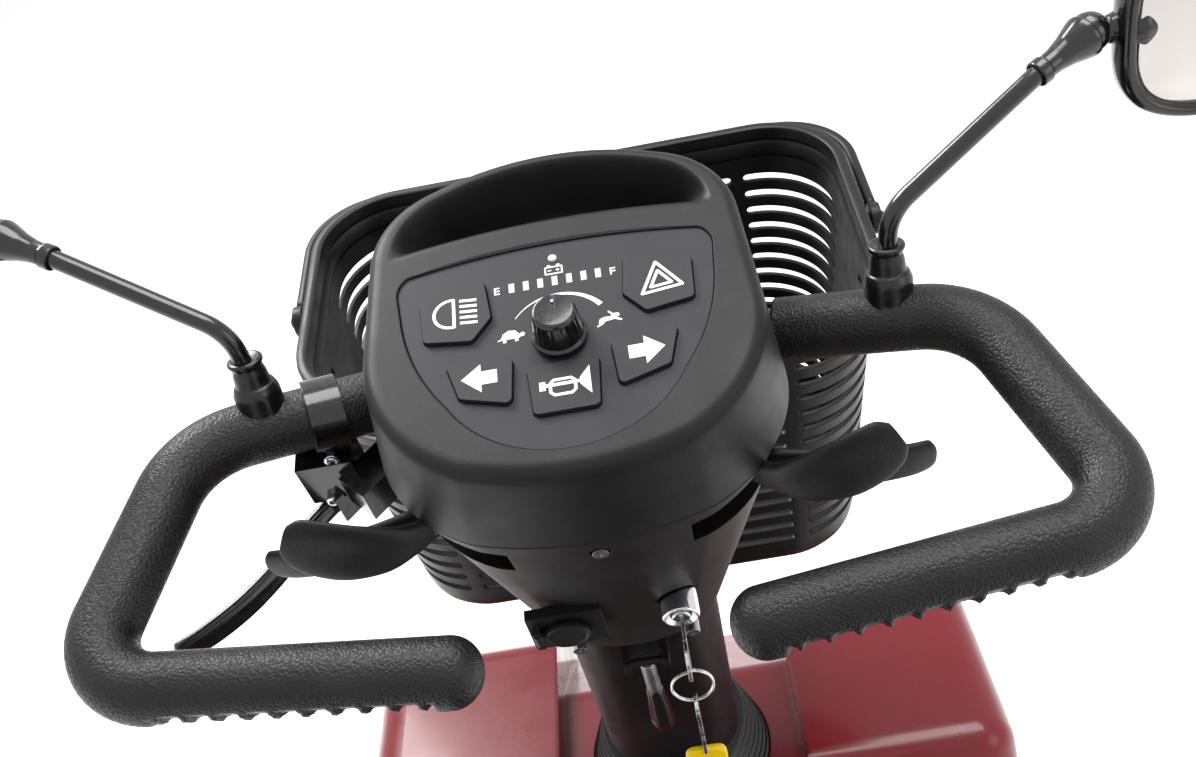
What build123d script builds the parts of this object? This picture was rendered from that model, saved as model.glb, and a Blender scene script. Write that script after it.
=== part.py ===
"""Four-wheel mobility scooter: frame, running gear, seat, and a tilting tiller with its control console.

World axes: +Y is forward, +X is the rider's right, +Z is up, and the ground is z = 0.
The tiller's parts are placed in the TILLER plane, whose origin is the middle of the console's face:
u runs to the rider's right, v up along the face, and w out of the face, along the steering column.
"""
from build123d import *
from math import cos, radians, tan
import os

os.makedirs("parts", exist_ok=True)

# ---- Driving dimensions, in millimetres ----
RAKE = 18                       # the column leans back by this many degrees
CONSOLE_Y = 176                 # middle of the console's face
CONSOLE_Z = 955
COLUMN_V = 15                   # the column's axis lies this far up the face from its middle
PIVOT_W = -662                  # tilt pivot, measured down the column
AXLE_Z = 132
FRONT_AXLE_Y = 440
REAR_AXLE_Y = -405
FRONT_WHEEL_X = 240
REAR_WHEEL_X = 250
KINGPIN_X = 178
STEER_ARM = 60                  # knuckle arms and pitman arm share this length
SEAT_Y = -322
BATTERY_Y = -252
TYRE_R = 132
TYRE_WIDTH = 75
RIM_R = 72
HUB_LENGTH = 56
SPINDLE_R = 10
RUNNING = 0.05                  # radial clearance of every turning fit
DECK_TOP = 162
RAIL_X = 80
RAIL_BOTTOM = 112
RAIL_TOP = 152
REAR_RAIL_BOTTOM = 180
REAR_RAIL_TOP = 212

# Console and its housing, in the tiller frame
RIM_HALF_WIDTH = 108            # outline of the console's rim at w = 0
RIM_REAR = -85
RIM_FRONT = 147
SEAM_W = -66                    # the two housing halves meet here
SEAM_HALF_WIDTH = 117
SEAM_REAR = -88
SEAM_FRONT = 130
HOUSING_BOTTOM_W = -272
HOUSING_WALL = 4
PANEL_TOP_W = -1
PANEL_THICKNESS = 3.2
COVER_BOTTOM_W = -560

# Handlebar: the right half's centreline, from the middle of the head to the end of the grip
BAR_POINTS = [(0, 44, -76), (55, 44, -76), (98, 41.1, -75.6), (223, 5, -48), (265, -138, -41.5), (78, -151, -59)]
BAR_RADII = [200, 90, 58, 32]
BAR_R = 12.7
FOAM_R = 18.4
FOAM_START = (123, 33.9, -70.1)

TILLER = Plane(
    origin=(0, CONSOLE_Y, CONSOLE_Z),
    x_dir=(1, 0, 0),
    z_dir=Vector(0, 0, 1).rotate(Axis.X, RAKE),
)


def at(u, v, w):
    """World position of a point given in the tiller frame."""
    return TILLER.from_local_coords(Vector(u, v, w))


def tiller_plane(u, v, w, z_dir, x_dir=(1, 0, 0)):
    """A sketch plane in the tiller frame, with its directions given there too."""
    turned = Plane(origin=(0, 0, 0), x_dir=TILLER.x_dir, z_dir=TILLER.z_dir)
    return Plane(
        origin=at(u, v, w),
        x_dir=turned.from_local_coords(Vector(*x_dir)),
        z_dir=turned.from_local_coords(Vector(*z_dir)),
    )


def save(piece, name):
    """Label one piece and write its file."""
    piece.label = name
    export_step(piece, "parts/" + name + ".step")


def bent_line(points, radii):
    """Straight runs joined by a tangent arc at each inner point, added to the open line."""
    corners = [Vector(*point) for point in points]
    start = corners[0]
    for before, corner, after, radius in zip(corners, corners[1:], corners[2:], radii):
        back = (before - corner).normalized()
        onward = (after - corner).normalized()
        half_turn = radians((180 - back.get_angle(onward)) / 2)
        reach = radius * tan(half_turn)
        sag = radius * (1 / cos(half_turn) - 1)
        arc_start = corner + back * reach
        arc_end = corner + onward * reach
        Line(start, arc_start)
        ThreePointArc(arc_start, corner + (back + onward).normalized() * sag, arc_end)
        start = arc_end
    Line(start, corners[-1])


def bent_rod(points, radii, rod_radius, bore=0):
    """A round rod, or a sleeve with a bore, along a bent line, added to the open part."""
    with BuildLine() as route:
        bent_line(points, radii)
    with BuildSketch(Plane(origin=route.line @ 0, z_dir=route.line % 0)) as section:
        Circle(rod_radius)
        if bore:
            Circle(bore, mode=Mode.SUBTRACT)
    sweep(section.sketch, path=route.wire())


PIVOT = at(0, COLUMN_V, PIVOT_W)
STEM_Y = PIVOT.Y
STEER_PIN_Y = STEM_Y - STEER_ARM
KNUCKLE_PIN_Y = FRONT_AXLE_Y - STEER_ARM

# =====================================================================================
# Frame
# =====================================================================================
with BuildPart() as main_frame:
    for side in (-1, 1):
        with Locations((side * RAIL_X, 30, AXLE_Z)):
            Box(40, 820, RAIL_TOP - RAIL_BOTTOM)
        with Locations((side * RAIL_X, -353, 162)):
            Box(40, 36, 100)
        with Locations((side * RAIL_X, -465, (REAR_RAIL_BOTTOM + REAR_RAIL_TOP) / 2)):
            Box(40, 240, REAR_RAIL_TOP - REAR_RAIL_BOTTOM)
        with Locations((side * RAIL_X, REAR_AXLE_Y, 168)):
            Box(30, 40, 26)
    with Locations((0, -575, 196)):
        Box(232, 30, 32)
    with Locations((0, -322, 146)):
        Box(130, 56, 28)
    with Locations((0, 0, 132)):
        Box(130, 40, 30)
    with Locations((0, BATTERY_Y, 153.5)):
        Box(374, 80, 3)
    # Front axle beam and the cross member behind it, around the steering head
    with Locations((0, FRONT_AXLE_Y, AXLE_Z)):
        Box(2 * KINGPIN_X - 30, 40, 40)
    with Locations((0, 385, AXLE_Z)):
        Box(130, 90, 40)
    with Locations((0, STEM_Y, 197)):
        Cylinder(24, 186)
    for side in (-1, 1):
        with Locations((side * KINGPIN_X, FRONT_AXLE_Y, AXLE_Z)):
            Cylinder(17, 64)
            Cylinder(SPINDLE_R + RUNNING, 70, mode=Mode.SUBTRACT)
    with Locations((0, STEM_Y, 197)):
        Cylinder(12.7 + RUNNING, 200, mode=Mode.SUBTRACT)
    # Seat tube
    with Locations((0, SEAT_Y, 280)):
        Cylinder(30, 240)
    with Locations((0, SEAT_Y, 291)):
        Cylinder(25 + RUNNING, 240, mode=Mode.SUBTRACT)
    # Anti-tip arms and their axle pins
    for side in (-1, 1):
        with BuildSketch(Plane.YZ.offset(side * 112 - 4)):
            with BuildLine():
                Polyline((-560, 212), (-560, 180), (-600, 20), (-624, 20), (-624, 44), (-590, 212), close=True)
            make_face()
        extrude(amount=8)
        with Locations(Location((side * 128, -612, 32), (0, 90, 0))):
            Cylinder(5, 36)
    # Seats for the axle tube
    with Locations(Location((0, REAR_AXLE_Y, AXLE_Z), (0, 90, 0))):
        Cylinder(25, 300, mode=Mode.SUBTRACT)
save(main_frame.part, "main_frame")

with BuildPart() as transaxle:
    with Locations(Location((0, REAR_AXLE_Y, AXLE_Z), (0, 90, 0))):
        Cylinder(25, 400)
        Cylinder(SPINDLE_R, 572)
    with Locations(Location((0, REAR_AXLE_Y, AXLE_Z), (0, 90, 0))):
        Cylinder(44, 100)
    with Locations(Location((0, REAR_AXLE_Y - 95, AXLE_Z), (90, 0, 0))):
        Cylinder(40, 140)
    fillet(transaxle.faces().sort_by(Axis.Y)[0].edges(), 6)
save(transaxle.part, "transaxle")

with BuildPart() as battery_packs:
    for side in (-1, 1):
        with Locations((side * 93, BATTERY_Y, 155 + 83.5)):
            Box(181, 77, 167)
        with Locations((side * 93 - 60, BATTERY_Y, 326), (side * 93 + 60, BATTERY_Y, 326)):
            Cylinder(6, 8)
    fillet(battery_packs.edges().filter_by(Axis.Z).group_by(Edge.length)[-1], 4)
save(battery_packs.part, "battery_packs")

with BuildPart() as controller:
    with Locations((0, -515, REAR_RAIL_TOP + 20)):
        Box(150, 90, 40)
    with Locations(*[(0, -515 + 12 * step, REAR_RAIL_TOP + 44) for step in range(-3, 4)]):
        Box(140, 4, 8)
save(controller.part, "controller")

# =====================================================================================
# Body panels
# =====================================================================================
with BuildPart() as floor_deck:
    with BuildSketch(Plane.XY.offset(RAIL_TOP)):
        with Locations((0, 33)):
            RectangleRounded(450, 446, 45)
    extrude(amount=DECK_TOP - RAIL_TOP)
    with BuildSketch(Plane.XY.offset(RAIL_TOP)):
        with Locations((0, 33)):
            RectangleRounded(450, 446, 45)
            RectangleRounded(438, 434, 39, mode=Mode.SUBTRACT)
    extrude(amount=-34)
    # Gap in the skirt for the frame
    with Locations((0, 33, RAIL_TOP - 20.5)):
        Box(2 * RAIL_X + 42, 460, 41, mode=Mode.SUBTRACT)
save(floor_deck.part, "floor_deck")

with BuildPart() as floor_mat:
    with BuildSketch(Plane.XY.offset(DECK_TOP)):
        with Locations((0, 30)):
            RectangleRounded(380, 400, 30)
    extrude(amount=3)
    with Locations(*[(0, 30 + 24 * step, DECK_TOP + 4) for step in range(-7, 8)]):
        Box(330, 10, 2)
save(floor_mat.part, "floor_mat")


SKIN = 4
WELL_R = 172
FENDER_INNER_X = 112
FENDER_OUTER_X = 298


def cowl_middle(inset):
    """Side outline of the cowl's middle, from the deck over the column base to the nose."""
    with BuildSketch(Plane.YZ.offset(inset - 120)) as outline:
        with BuildLine():
            Polyline(
                (262, 130), (262, 300), (292, 350), (470, 350), (600, 262), (632, 200), (632, 130), close=True,
            )
        make_face()
        fillet(outline.vertices().filter_by(lambda corner: corner.Y > 180), 24)
        if inset:
            offset(amount=-inset)
    return outline.sketch


def cowl_fender(inset):
    """Side outline of one front fender, on its inner face."""
    with BuildSketch(Plane.YZ.offset(FENDER_INNER_X + inset)) as outline:
        with BuildLine():
            Polyline(
                (262, 130), (262, 250), (330, 376), (520, 376), (612, 290), (632, 200), (632, 130), close=True,
            )
        make_face()
        fillet(outline.vertices().filter_by(lambda corner: corner.Y > 180), 30)
        if inset:
            offset(amount=-inset)
    return outline.sketch


def fender_edges(fender, outer_x):
    """The upper edges of a fender's outer side."""
    return fender.edges().filter_by(lambda edge: edge.center().X > outer_x - 1 and edge.center().Z > 136)


with BuildPart() as cowl_outside:
    extrude(cowl_middle(0), amount=240)
with BuildPart() as fender_outside:
    extrude(cowl_fender(0), amount=FENDER_OUTER_X - FENDER_INNER_X)
    fillet(fender_edges(fender_outside, FENDER_OUTER_X), 34)
    mirror(about=Plane.YZ)
with BuildPart() as fender_inside:
    extrude(cowl_fender(SKIN), amount=FENDER_OUTER_X - FENDER_INNER_X - 2 * SKIN)
    fillet(fender_edges(fender_inside, FENDER_OUTER_X - SKIN), 34 - SKIN)
    mirror(about=Plane.YZ)

with BuildPart() as lamps:
    with Locations(Location((0, 598, 246), (90, 0, 0))):
        Cylinder(34, 60)
    for side in (-1, 1):
        with Locations(Location((side * 205, 604, 262), (90, 0, 0))):
            Cylinder(17, 40)
        with Locations((side * 150, -604, 350)):
            Box(56, 12, 36)
save(lamps.part, "lamps")

with BuildPart() as cowl_inside:
    extrude(cowl_middle(SKIN), amount=240 - 2 * SKIN)
with BuildPart() as front_cowl:
    add(cowl_outside.part)
    add(fender_outside.part)
    add(cowl_inside.part, mode=Mode.SUBTRACT)
    add(fender_inside.part, mode=Mode.SUBTRACT)
    # Open underneath, with an arch at each wheel
    with Locations((0, 447, 120)):
        Box(800, 420, 72, mode=Mode.SUBTRACT)
    for side in (-1, 1):
        with Locations(Location((side * 262, FRONT_AXLE_Y, AXLE_Z), (0, 90, 0))):
            Cylinder(WELL_R, 300, mode=Mode.SUBTRACT)
    with Locations((0, STEM_Y - 4, 340)):
        Cylinder(60, 60, mode=Mode.SUBTRACT)
    add(lamps.part, mode=Mode.SUBTRACT)
save(front_cowl.part, "front_cowl")

with BuildPart() as rear_body_cover:
    with BuildSketch(Plane.XY.offset(164)) as cover_outline:
        with Locations((0, -397)):
            RectangleRounded(392, 396, 34)
    extrude(amount=270)
    fillet(rear_body_cover.faces().sort_by(Axis.Z)[-1].edges(), 30)
    with BuildSketch(Plane.XY.offset(150)):
        with Locations((0, -397)):
            RectangleRounded(392 - 2 * SKIN, 396 - 2 * SKIN, 34 - SKIN)
    extrude(amount=250, mode=Mode.SUBTRACT)
    # Rear fenders
    for side in (-1, 1):
        with BuildSketch(Plane.YZ.offset(side * 245 - 50)):
            with Locations((REAR_AXLE_Y, AXLE_Z)):
                Circle(153)
                Circle(148, mode=Mode.SUBTRACT)
            with Locations((REAR_AXLE_Y, 0)):
                Rectangle(400, 2 * 175, mode=Mode.SUBTRACT)
        extrude(amount=100)
    with Locations((0, SEAT_Y, 420)):
        Cylinder(34, 60, mode=Mode.SUBTRACT)
    for side in (-1, 1):
        with Locations(Location((side * 200, REAR_AXLE_Y, AXLE_Z), (0, 90, 0))):
            Cylinder(40, 40, mode=Mode.SUBTRACT)
        with Locations((side * 112, -593, 180)):
            Box(12, 50, 90, mode=Mode.SUBTRACT)
    add(lamps.part, mode=Mode.SUBTRACT)
save(rear_body_cover.part, "rear_body_cover")

with BuildPart() as bumpers:
    with Locations((0, 638.5, 178)):
        Box(330, 12, 34)
    with Locations((0, -601.5, 250)):
        Box(330, 12, 34)
    fillet(bumpers.edges().filter_by(Axis.Z), 5)
save(bumpers.part, "bumpers")

# =====================================================================================
# Steering: stem, knuckles and tie rod
# =====================================================================================
with BuildPart() as steering_stem:
    with Locations((0, STEM_Y, 191)):
        Cylinder(12.7, 202)
    with Locations((0, STEM_Y, 296)):
        Cylinder(34, 8)
    with Locations((0, (STEM_Y + STEER_PIN_Y) / 2, 94)):
        Box(24, STEER_ARM + 24, 8)
    with Locations((0, STEER_PIN_Y, 82)):
        Cylinder(6, 16)
    for side in (-1, 1):
        with Locations((side * 30.5, STEM_Y, 322)):
            Box(7, 36, 52)
    with Locations(Location(tuple(PIVOT), (0, 90, 0))):
        Cylinder(8, 68)
save(steering_stem.part, "steering_stem")

for side, hand in ((-1, "left"), (1, "right")):
    with BuildPart() as knuckle:
        with Locations((side * KINGPIN_X, FRONT_AXLE_Y, AXLE_Z)):
            Cylinder(SPINDLE_R, 82)
        with Locations((side * (KINGPIN_X + 6), FRONT_AXLE_Y, 170), (side * (KINGPIN_X + 6), FRONT_AXLE_Y, 94)):
            Box(45, 32, 8)
        with Locations((side * (KINGPIN_X + 23.5), FRONT_AXLE_Y, AXLE_Z)):
            Box(10, 32, 84)
        with Locations(Location((side * (KINGPIN_X + 62), FRONT_AXLE_Y, AXLE_Z), (0, 90, 0))):
            Cylinder(SPINDLE_R, 70)
        with Locations((side * KINGPIN_X, (FRONT_AXLE_Y + KNUCKLE_PIN_Y) / 2, 94)):
            Box(24, STEER_ARM + 24, 8)
        with Locations((side * KINGPIN_X, KNUCKLE_PIN_Y, 82)):
            Cylinder(6, 16)
    save(knuckle.part, "steering_knuckle_" + hand)

with BuildPart() as tie_rod:
    with Locations((0, KNUCKLE_PIN_Y, 82)):
        Box(2 * KINGPIN_X + 24, 16, 12)
    with Locations((0, (KNUCKLE_PIN_Y + STEER_PIN_Y) / 2, 82)):
        Box(26, KNUCKLE_PIN_Y - STEER_PIN_Y + 24, 12)
    with Locations((-KINGPIN_X, KNUCKLE_PIN_Y, 82), (KINGPIN_X, KNUCKLE_PIN_Y, 82)):
        Cylinder(14, 12)
        Cylinder(6.4, 20, mode=Mode.SUBTRACT)
    with Locations((0, STEER_PIN_Y, 82)):
        Cylinder(6 + RUNNING, 20, mode=Mode.SUBTRACT)
save(tie_rod.part, "tie_rod")

# =====================================================================================
# Wheels
# =====================================================================================
WHEELS = [
    ("front", "left", -FRONT_WHEEL_X, FRONT_AXLE_Y),
    ("front", "right", FRONT_WHEEL_X, FRONT_AXLE_Y),
    ("rear", "left", -REAR_WHEEL_X, REAR_AXLE_Y),
    ("rear", "right", REAR_WHEEL_X, REAR_AXLE_Y),
]
for end, hand, wheel_x, wheel_y in WHEELS:
    centre = Plane(origin=(wheel_x, wheel_y, AXLE_Z), x_dir=(0, 1, 0), z_dir=(1, 0, 0))
    with BuildPart() as tyre:
        with BuildSketch(centre.offset(-TYRE_WIDTH / 2)):
            Circle(TYRE_R)
        extrude(amount=TYRE_WIDTH)
        fillet(tyre.edges(), 20)
        with BuildSketch(centre.offset(-TYRE_WIDTH / 2)):
            Circle(RIM_R)
        extrude(amount=TYRE_WIDTH, mode=Mode.SUBTRACT)
    save(tyre.part, end + "_tyre_" + hand)
    with BuildPart() as rim:
        with BuildSketch(centre.offset(-HUB_LENGTH / 2)):
            Circle(RIM_R)
            Circle(RIM_R - 8, mode=Mode.SUBTRACT)
            Circle(22)
        extrude(amount=HUB_LENGTH)
        with BuildSketch(centre.offset(-7)):
            Circle(RIM_R - 4)
            with PolarLocations(43, 5):
                Circle(13, mode=Mode.SUBTRACT)
        extrude(amount=14)
        with BuildSketch(centre.offset(-HUB_LENGTH / 2)):
            Circle(SPINDLE_R + RUNNING)
        extrude(amount=HUB_LENGTH, mode=Mode.SUBTRACT)
    save(rim.part, end + "_rim_" + hand)

with BuildPart() as anti_tip_wheels:
    for side in (-1, 1):
        with Locations(Location((side * 130, -612, 32), (0, 90, 0))):
            Cylinder(22, 22)
            Cylinder(5 + RUNNING, 30, mode=Mode.SUBTRACT)
save(anti_tip_wheels.part, "anti_tip_wheels")

# =====================================================================================
# Seat
# =====================================================================================
BACK_PIVOT = (-500, 625)
ARM_PIVOT = (-500, 788)
with BuildPart() as seat_base:
    with Locations((0, SEAT_Y, 385)):
        Cylinder(25, 186)
    with Locations((0, SEAT_Y, 474)):
        Box(320, 330, 8)
    with Locations((0, SEAT_Y, 464)):
        Cylinder(60, 12)
    with Locations((0, -500, 474)):
        Box(516, 26, 8)
    for side in (-1, 1):
        with Locations((side * 254, -500, 638)):
            Box(8, 26, 336)
        with Locations(Location((side * 222, BACK_PIVOT[0], BACK_PIVOT[1]), (0, 90, 0))):
            Cylinder(8, 60)
        with Locations(Location((side * 272, ARM_PIVOT[0], ARM_PIVOT[1]), (0, 90, 0))):
            Cylinder(8, 32)
save(seat_base.part, "seat_base")

with BuildPart() as seat_cushion:
    with BuildSketch(Plane.XY.offset(478)):
        with Locations((0, -298)):
            RectangleRounded(450, 376, 60)
    extrude(amount=102)
    fillet(seat_cushion.faces().sort_by(Axis.Z)[-1].edges(), 30)
save(seat_cushion.part, "seat_cushion")

with BuildPart() as seat_backrest:
    with BuildSketch(Plane.YZ.offset(-210)) as back_outline:
        with BuildLine():
            Polyline((-472, 604), (-530, 604), (-592, 1000), (-530, 1000), close=True)
        make_face()
        fillet(back_outline.vertices(), 18)
    extrude(amount=420)
    for side in (-1, 1):
        with Locations(Location((side * 205, BACK_PIVOT[0], BACK_PIVOT[1]), (0, 90, 0))):
            Cylinder(8 + RUNNING, 40, mode=Mode.SUBTRACT)
save(seat_backrest.part, "seat_backrest")

for side, hand in ((-1, "left"), (1, "right")):
    with BuildPart() as armrest:
        with Locations((side * 281, -355, 800)):
            Box(40, 326, 26)
        with Locations((side * 281, -500, 788)):
            Box(40, 36, 40)
        fillet(armrest.faces().sort_by(Axis.Z)[-1].edges(), 8)
        with Locations(Location((side * 274, ARM_PIVOT[0], ARM_PIVOT[1]), (0, 90, 0))):
            Cylinder(8 + RUNNING, 30, mode=Mode.SUBTRACT)
    save(armrest.part, "armrest_" + hand)

# =====================================================================================
# Tiller column
# =====================================================================================
BASKET_NEAR_TOP = (0, 111, -160)
BASKET_TILT = 9
BASKET = Plane(
    origin=at(*BASKET_NEAR_TOP),
    x_dir=(1, 0, 0),
    z_dir=Vector(0, 0, 1).rotate(Axis.X, RAKE - BASKET_TILT),
)

with BuildPart(TILLER) as tiller_tube:
    with Locations((0, COLUMN_V, -370)):
        Cylinder(22.5, 540)
    with Locations((0, COLUMN_V, -649)):
        Cylinder(16, 26)
    with Locations(Location((0, COLUMN_V, PIVOT_W), (0, 90, 0))):
        Cylinder(17, 52)
    # Plate in the head, with the saddle under the handlebar and the post for the speed paddles
    with Locations((0, 15, -107)):
        Box(120, 90, 6)
    with Locations((0, 45, -98)):
        Box(50, 26, 15)
    with Locations((0, 0, -85)):
        Cylinder(8, 44)
    # Arm and plate that carry the basket
    with Locations((0, 52, -310)):
        Box(40, 50, 36)
    with BuildSketch(BASKET.offset(-200)):
        with Locations((0, -7)):
            Rectangle(120, 6)
    extrude(amount=110)
    with Locations(Location((0, COLUMN_V, PIVOT_W), (0, 90, 0))):
        Cylinder(8 + RUNNING, 60, mode=Mode.SUBTRACT)
save(tiller_tube.part, "tiller_tube")

LEVER_W = -325
LEVER_V = -40
with BuildPart(TILLER) as column_cover:
    with BuildSketch(TILLER.offset(COVER_BOTTOM_W)):
        with Locations((0, COLUMN_V)):
            RectangleRounded(114, 84, 32)
            RectangleRounded(107, 77, 28.5, mode=Mode.SUBTRACT)
    extrude(amount=HOUSING_BOTTOM_W - COVER_BOTTOM_W - 1)
    # Lugs and pin of the tilt lever
    with Locations((-14, LEVER_V + 7, LEVER_W), (14, LEVER_V + 7, LEVER_W)):
        Box(5, 22, 14)
    with Locations(Location((0, LEVER_V, LEVER_W), (0, 90, 0))):
        Cylinder(3, 32)
    with Locations((0, 55, -310)):
        Box(41, 20, 37, mode=Mode.SUBTRACT)
save(column_cover.part, "column_cover")

with BuildPart(TILLER) as tilt_lever:
    with Locations(Location((0, LEVER_V, LEVER_W), (0, 90, 0))):
        Cylinder(7.5, 20)
    with Locations((0, LEVER_V, LEVER_W - 22)):
        Cylinder(5.5, 36)
    with Locations((0, LEVER_V, LEVER_W - 73)):
        Cone(10, 6.5, 70)
    with Locations((0, LEVER_V, LEVER_W - 108)):
        Sphere(10)
    with Locations(Location((0, LEVER_V, LEVER_W), (0, 90, 0))):
        Cylinder(3 + RUNNING, 30, mode=Mode.SUBTRACT)
save(tilt_lever.part, "tilt_lever")

BELLOWS_BASE_Z = 352
with BuildPart() as bellows:
    with BuildSketch(TILLER.offset(COVER_BOTTOM_W - 3)):
        with Locations((0, COLUMN_V)):
            Circle(62)
    with BuildSketch(Plane.XY.offset(BELLOWS_BASE_Z)):
        with Locations((0, STEM_Y - 7)):
            Circle(84)
    loft()
    with Locations(tiller_plane(0, COLUMN_V, -600, (0, 0, 1)).location):
        Cylinder(26, 200, mode=Mode.SUBTRACT)
save(bellows.part, "bellows")

# =====================================================================================
# Handlebar and mirrors
# =====================================================================================
bar_path = [at(*point) for point in BAR_POINTS]


def bar_half(rod_radius, first):
    """Right half of a rod on the handlebar's centreline, from the chosen starting point."""
    with BuildPart() as half:
        bent_rod([first] + bar_path[1:], BAR_RADII, rod_radius)
    return half.part


bar_clearance = bar_half(BAR_R + 0.5, bar_path[0])
with BuildPart() as handlebar_tube:
    add(bar_half(BAR_R, bar_path[0]))
    mirror(about=Plane.YZ)
save(handlebar_tube.part, "handlebar_tube")

GRIP_CAP = 16
grip_end = Plane(origin=bar_path[-1], z_dir=bar_path[-1] - bar_path[-2])
with BuildPart() as grip_cap:
    with BuildSketch(grip_end):
        Circle(FOAM_R)
    extrude(amount=GRIP_CAP)
    fillet(grip_cap.faces().filter_by(GeomType.PLANE).sort_by(Axis.X)[0].edges(), 13)
with BuildPart() as foam_grips:
    bent_rod([at(*FOAM_START)] + bar_path[3:], BAR_RADII[2:], FOAM_R, BAR_R)
    add(grip_cap.part)
    mirror(about=Plane.YZ)
save(foam_grips.part, "foam_grips")

MIRROR_SOCKET = (180, 19, -56)
BOOT_TOP = (180, 33, -19)
STEM_POINTS = [(180, 27, -34.5), (181, 38, 6), (266, 75, 50), (290, 91, 57)]
BALL = at(297, 92, 56)
with BuildPart() as mirror_stems:
    bent_rod([at(*point) for point in STEM_POINTS], [26, 60], 5.25)
    with Locations(Plane(origin=BALL, z_dir=at(*STEM_POINTS[2]) - BALL).location):
        with Locations((0, 0, 14)):
            Cone(11.5, 6, 22)
    with Locations(Location(tuple(BALL))):
        Sphere(11.3, mode=Mode.SUBTRACT)
    mirror(about=Plane.YZ)
save(mirror_stems.part, "mirror_stems")

with BuildPart() as mirror_boots:
    socket_plane = Plane(origin=at(*MIRROR_SOCKET), z_dir=at(*BOOT_TOP) - at(*MIRROR_SOCKET))
    with BuildSketch(socket_plane.offset(14)):
        Circle(13)
    extrude(amount=13)
    with BuildSketch(socket_plane.offset(27)):
        Circle(10.5)
    extrude(amount=13, taper=12)
    mirror(about=Plane.YZ)
    add(mirror_stems.part, mode=Mode.SUBTRACT)
    for side in (-1, 1):
        bar_here = at(side * 180, 17.4, -57.5)
        with BuildSketch(Plane(origin=bar_here, z_dir=at(side * 223, 5, -48) - bar_here).offset(-40)):
            Circle(FOAM_R + 0.1)
        extrude(amount=80, mode=Mode.SUBTRACT)
save(mirror_boots.part, "mirror_boots")

MIRROR_WIDTH = 150
MIRROR_HEIGHT = 106
MIRROR_DEPTH = 30
for side, hand in ((-1, "left"), (1, "right")):
    with BuildPart() as mirror_head:
        with BuildSketch(Plane.XZ.offset(-(BALL.Y + 16))):
            with Locations((side * (BALL.X + 12 + MIRROR_WIDTH / 2), BALL.Z - 1)):
                RectangleRounded(MIRROR_WIDTH, MIRROR_HEIGHT, 30)
        extrude(amount=MIRROR_DEPTH)
        fillet(mirror_head.faces().sort_by(Axis.Y)[-1].edges(), 14)
        with Locations(Location((side * BALL.X, BALL.Y, BALL.Z))):
            Sphere(11)
        with Locations(Location((side * (BALL.X + 10), BALL.Y, BALL.Z), (0, 90, 0))):
            Cylinder(8, 16)
        # Grease hole down through the ball
        with Locations(Location((side * BALL.X, BALL.Y, BALL.Z))):
            Cylinder(1.6, 30, mode=Mode.SUBTRACT)
    save(mirror_head.part, "mirror_head_" + hand)

# =====================================================================================
# Console housing
# =====================================================================================


def console_outline(w, half_width, rear, front):
    """Face on the console's outline at one height: egg-shaped, scaled to its three extents."""

    def point(u, v):
        return (u * half_width / RIM_HALF_WIDTH, rear + (v - RIM_REAR) * (front - rear) / (RIM_FRONT - RIM_REAR))

    with BuildSketch(TILLER.offset(w)) as outline:
        with BuildLine():
            ThreePointArc(point(-68, 132), point(0, 147), point(68, 132))
            ThreePointArc(point(68, 132), point(94, 112), point(105, 80))
            Line(point(105, 80), point(108, 10))
            ThreePointArc(point(108, 10), point(95, -40), point(60, -74))
            ThreePointArc(point(60, -74), point(0, -85), point(-60, -74))
            ThreePointArc(point(-60, -74), point(-95, -40), point(-108, 10))
            Line(point(-108, 10), point(-105, 80))
            ThreePointArc(point(-105, 80), point(-94, 112), point(-68, 132))
        make_face()
    return outline.sketch


def panel_outline(w, gap):
    """Face on the plate's outline at one height, arched at the top and round at the bottom."""
    with BuildSketch(TILLER.offset(w)) as outline:
        with BuildLine():
            ThreePointArc((-82, 60), (0, 68), (82, 60))
            ThreePointArc((82, 60), (87, 54), (88, 46))
            Line((88, 46), (86, 28))
            ThreePointArc((86, 28), (78, -5), (62, -34))
            ThreePointArc((62, -34), (0, -71), (-62, -34))
            ThreePointArc((-62, -34), (-78, -5), (-86, 28))
            Line((-86, 28), (-88, 46))
            ThreePointArc((-88, 46), (-87, 54), (-82, 60))
        make_face()
        if gap:
            offset(amount=-gap)
    return outline.sketch


BUTTONS = {
    "headlight_button": [(-75, 39), (-73, 10), (-47, 6), (-36, 20), (-39, 48)],
    "hazard_button": [(75, 39), (73, 10), (47, 6), (36, 20), (39, 48)],
    "left_arrow_button": [(-62, -6), (-26, -10), (-28, -39), (-55, -31)],
    "right_arrow_button": [(62, -6), (26, -10), (28, -39), (55, -31)],
    "horn_button": [(-19, -18), (19, -18), (17, -49), (-17, -49)],
}
BUTTON_TOP_W = 1.6
BUTTON_BOTTOM_W = -9
BUTTON_GAP = 0.5


def button_outline(corners, grow, bottom):
    """A button's rounded outline at one height, grown for the hole that it moves in."""
    with BuildSketch(TILLER.offset(bottom)) as outline:
        with BuildLine():
            Polyline(*corners, close=True)
        make_face()
        fillet(outline.vertices(), 3)
        if grow:
            offset(amount=grow)
    return outline.sketch


for name, corners in BUTTONS.items():
    with BuildPart(TILLER) as button:
        extrude(button_outline(corners, 0, BUTTON_BOTTOM_W), amount=BUTTON_TOP_W - BUTTON_BOTTOM_W)
    save(button.part, name)

with BuildPart(TILLER) as console_panel:
    extrude(panel_outline(PANEL_TOP_W - PANEL_THICKNESS, 0.4), amount=PANEL_THICKNESS)
    for corners in BUTTONS.values():
        extrude(button_outline(corners, BUTTON_GAP, -6), amount=8, mode=Mode.SUBTRACT)
    with Locations((0, 0, 0)):
        Cylinder(3.6, 20, mode=Mode.SUBTRACT)
save(console_panel.part, "console_panel")

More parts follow.
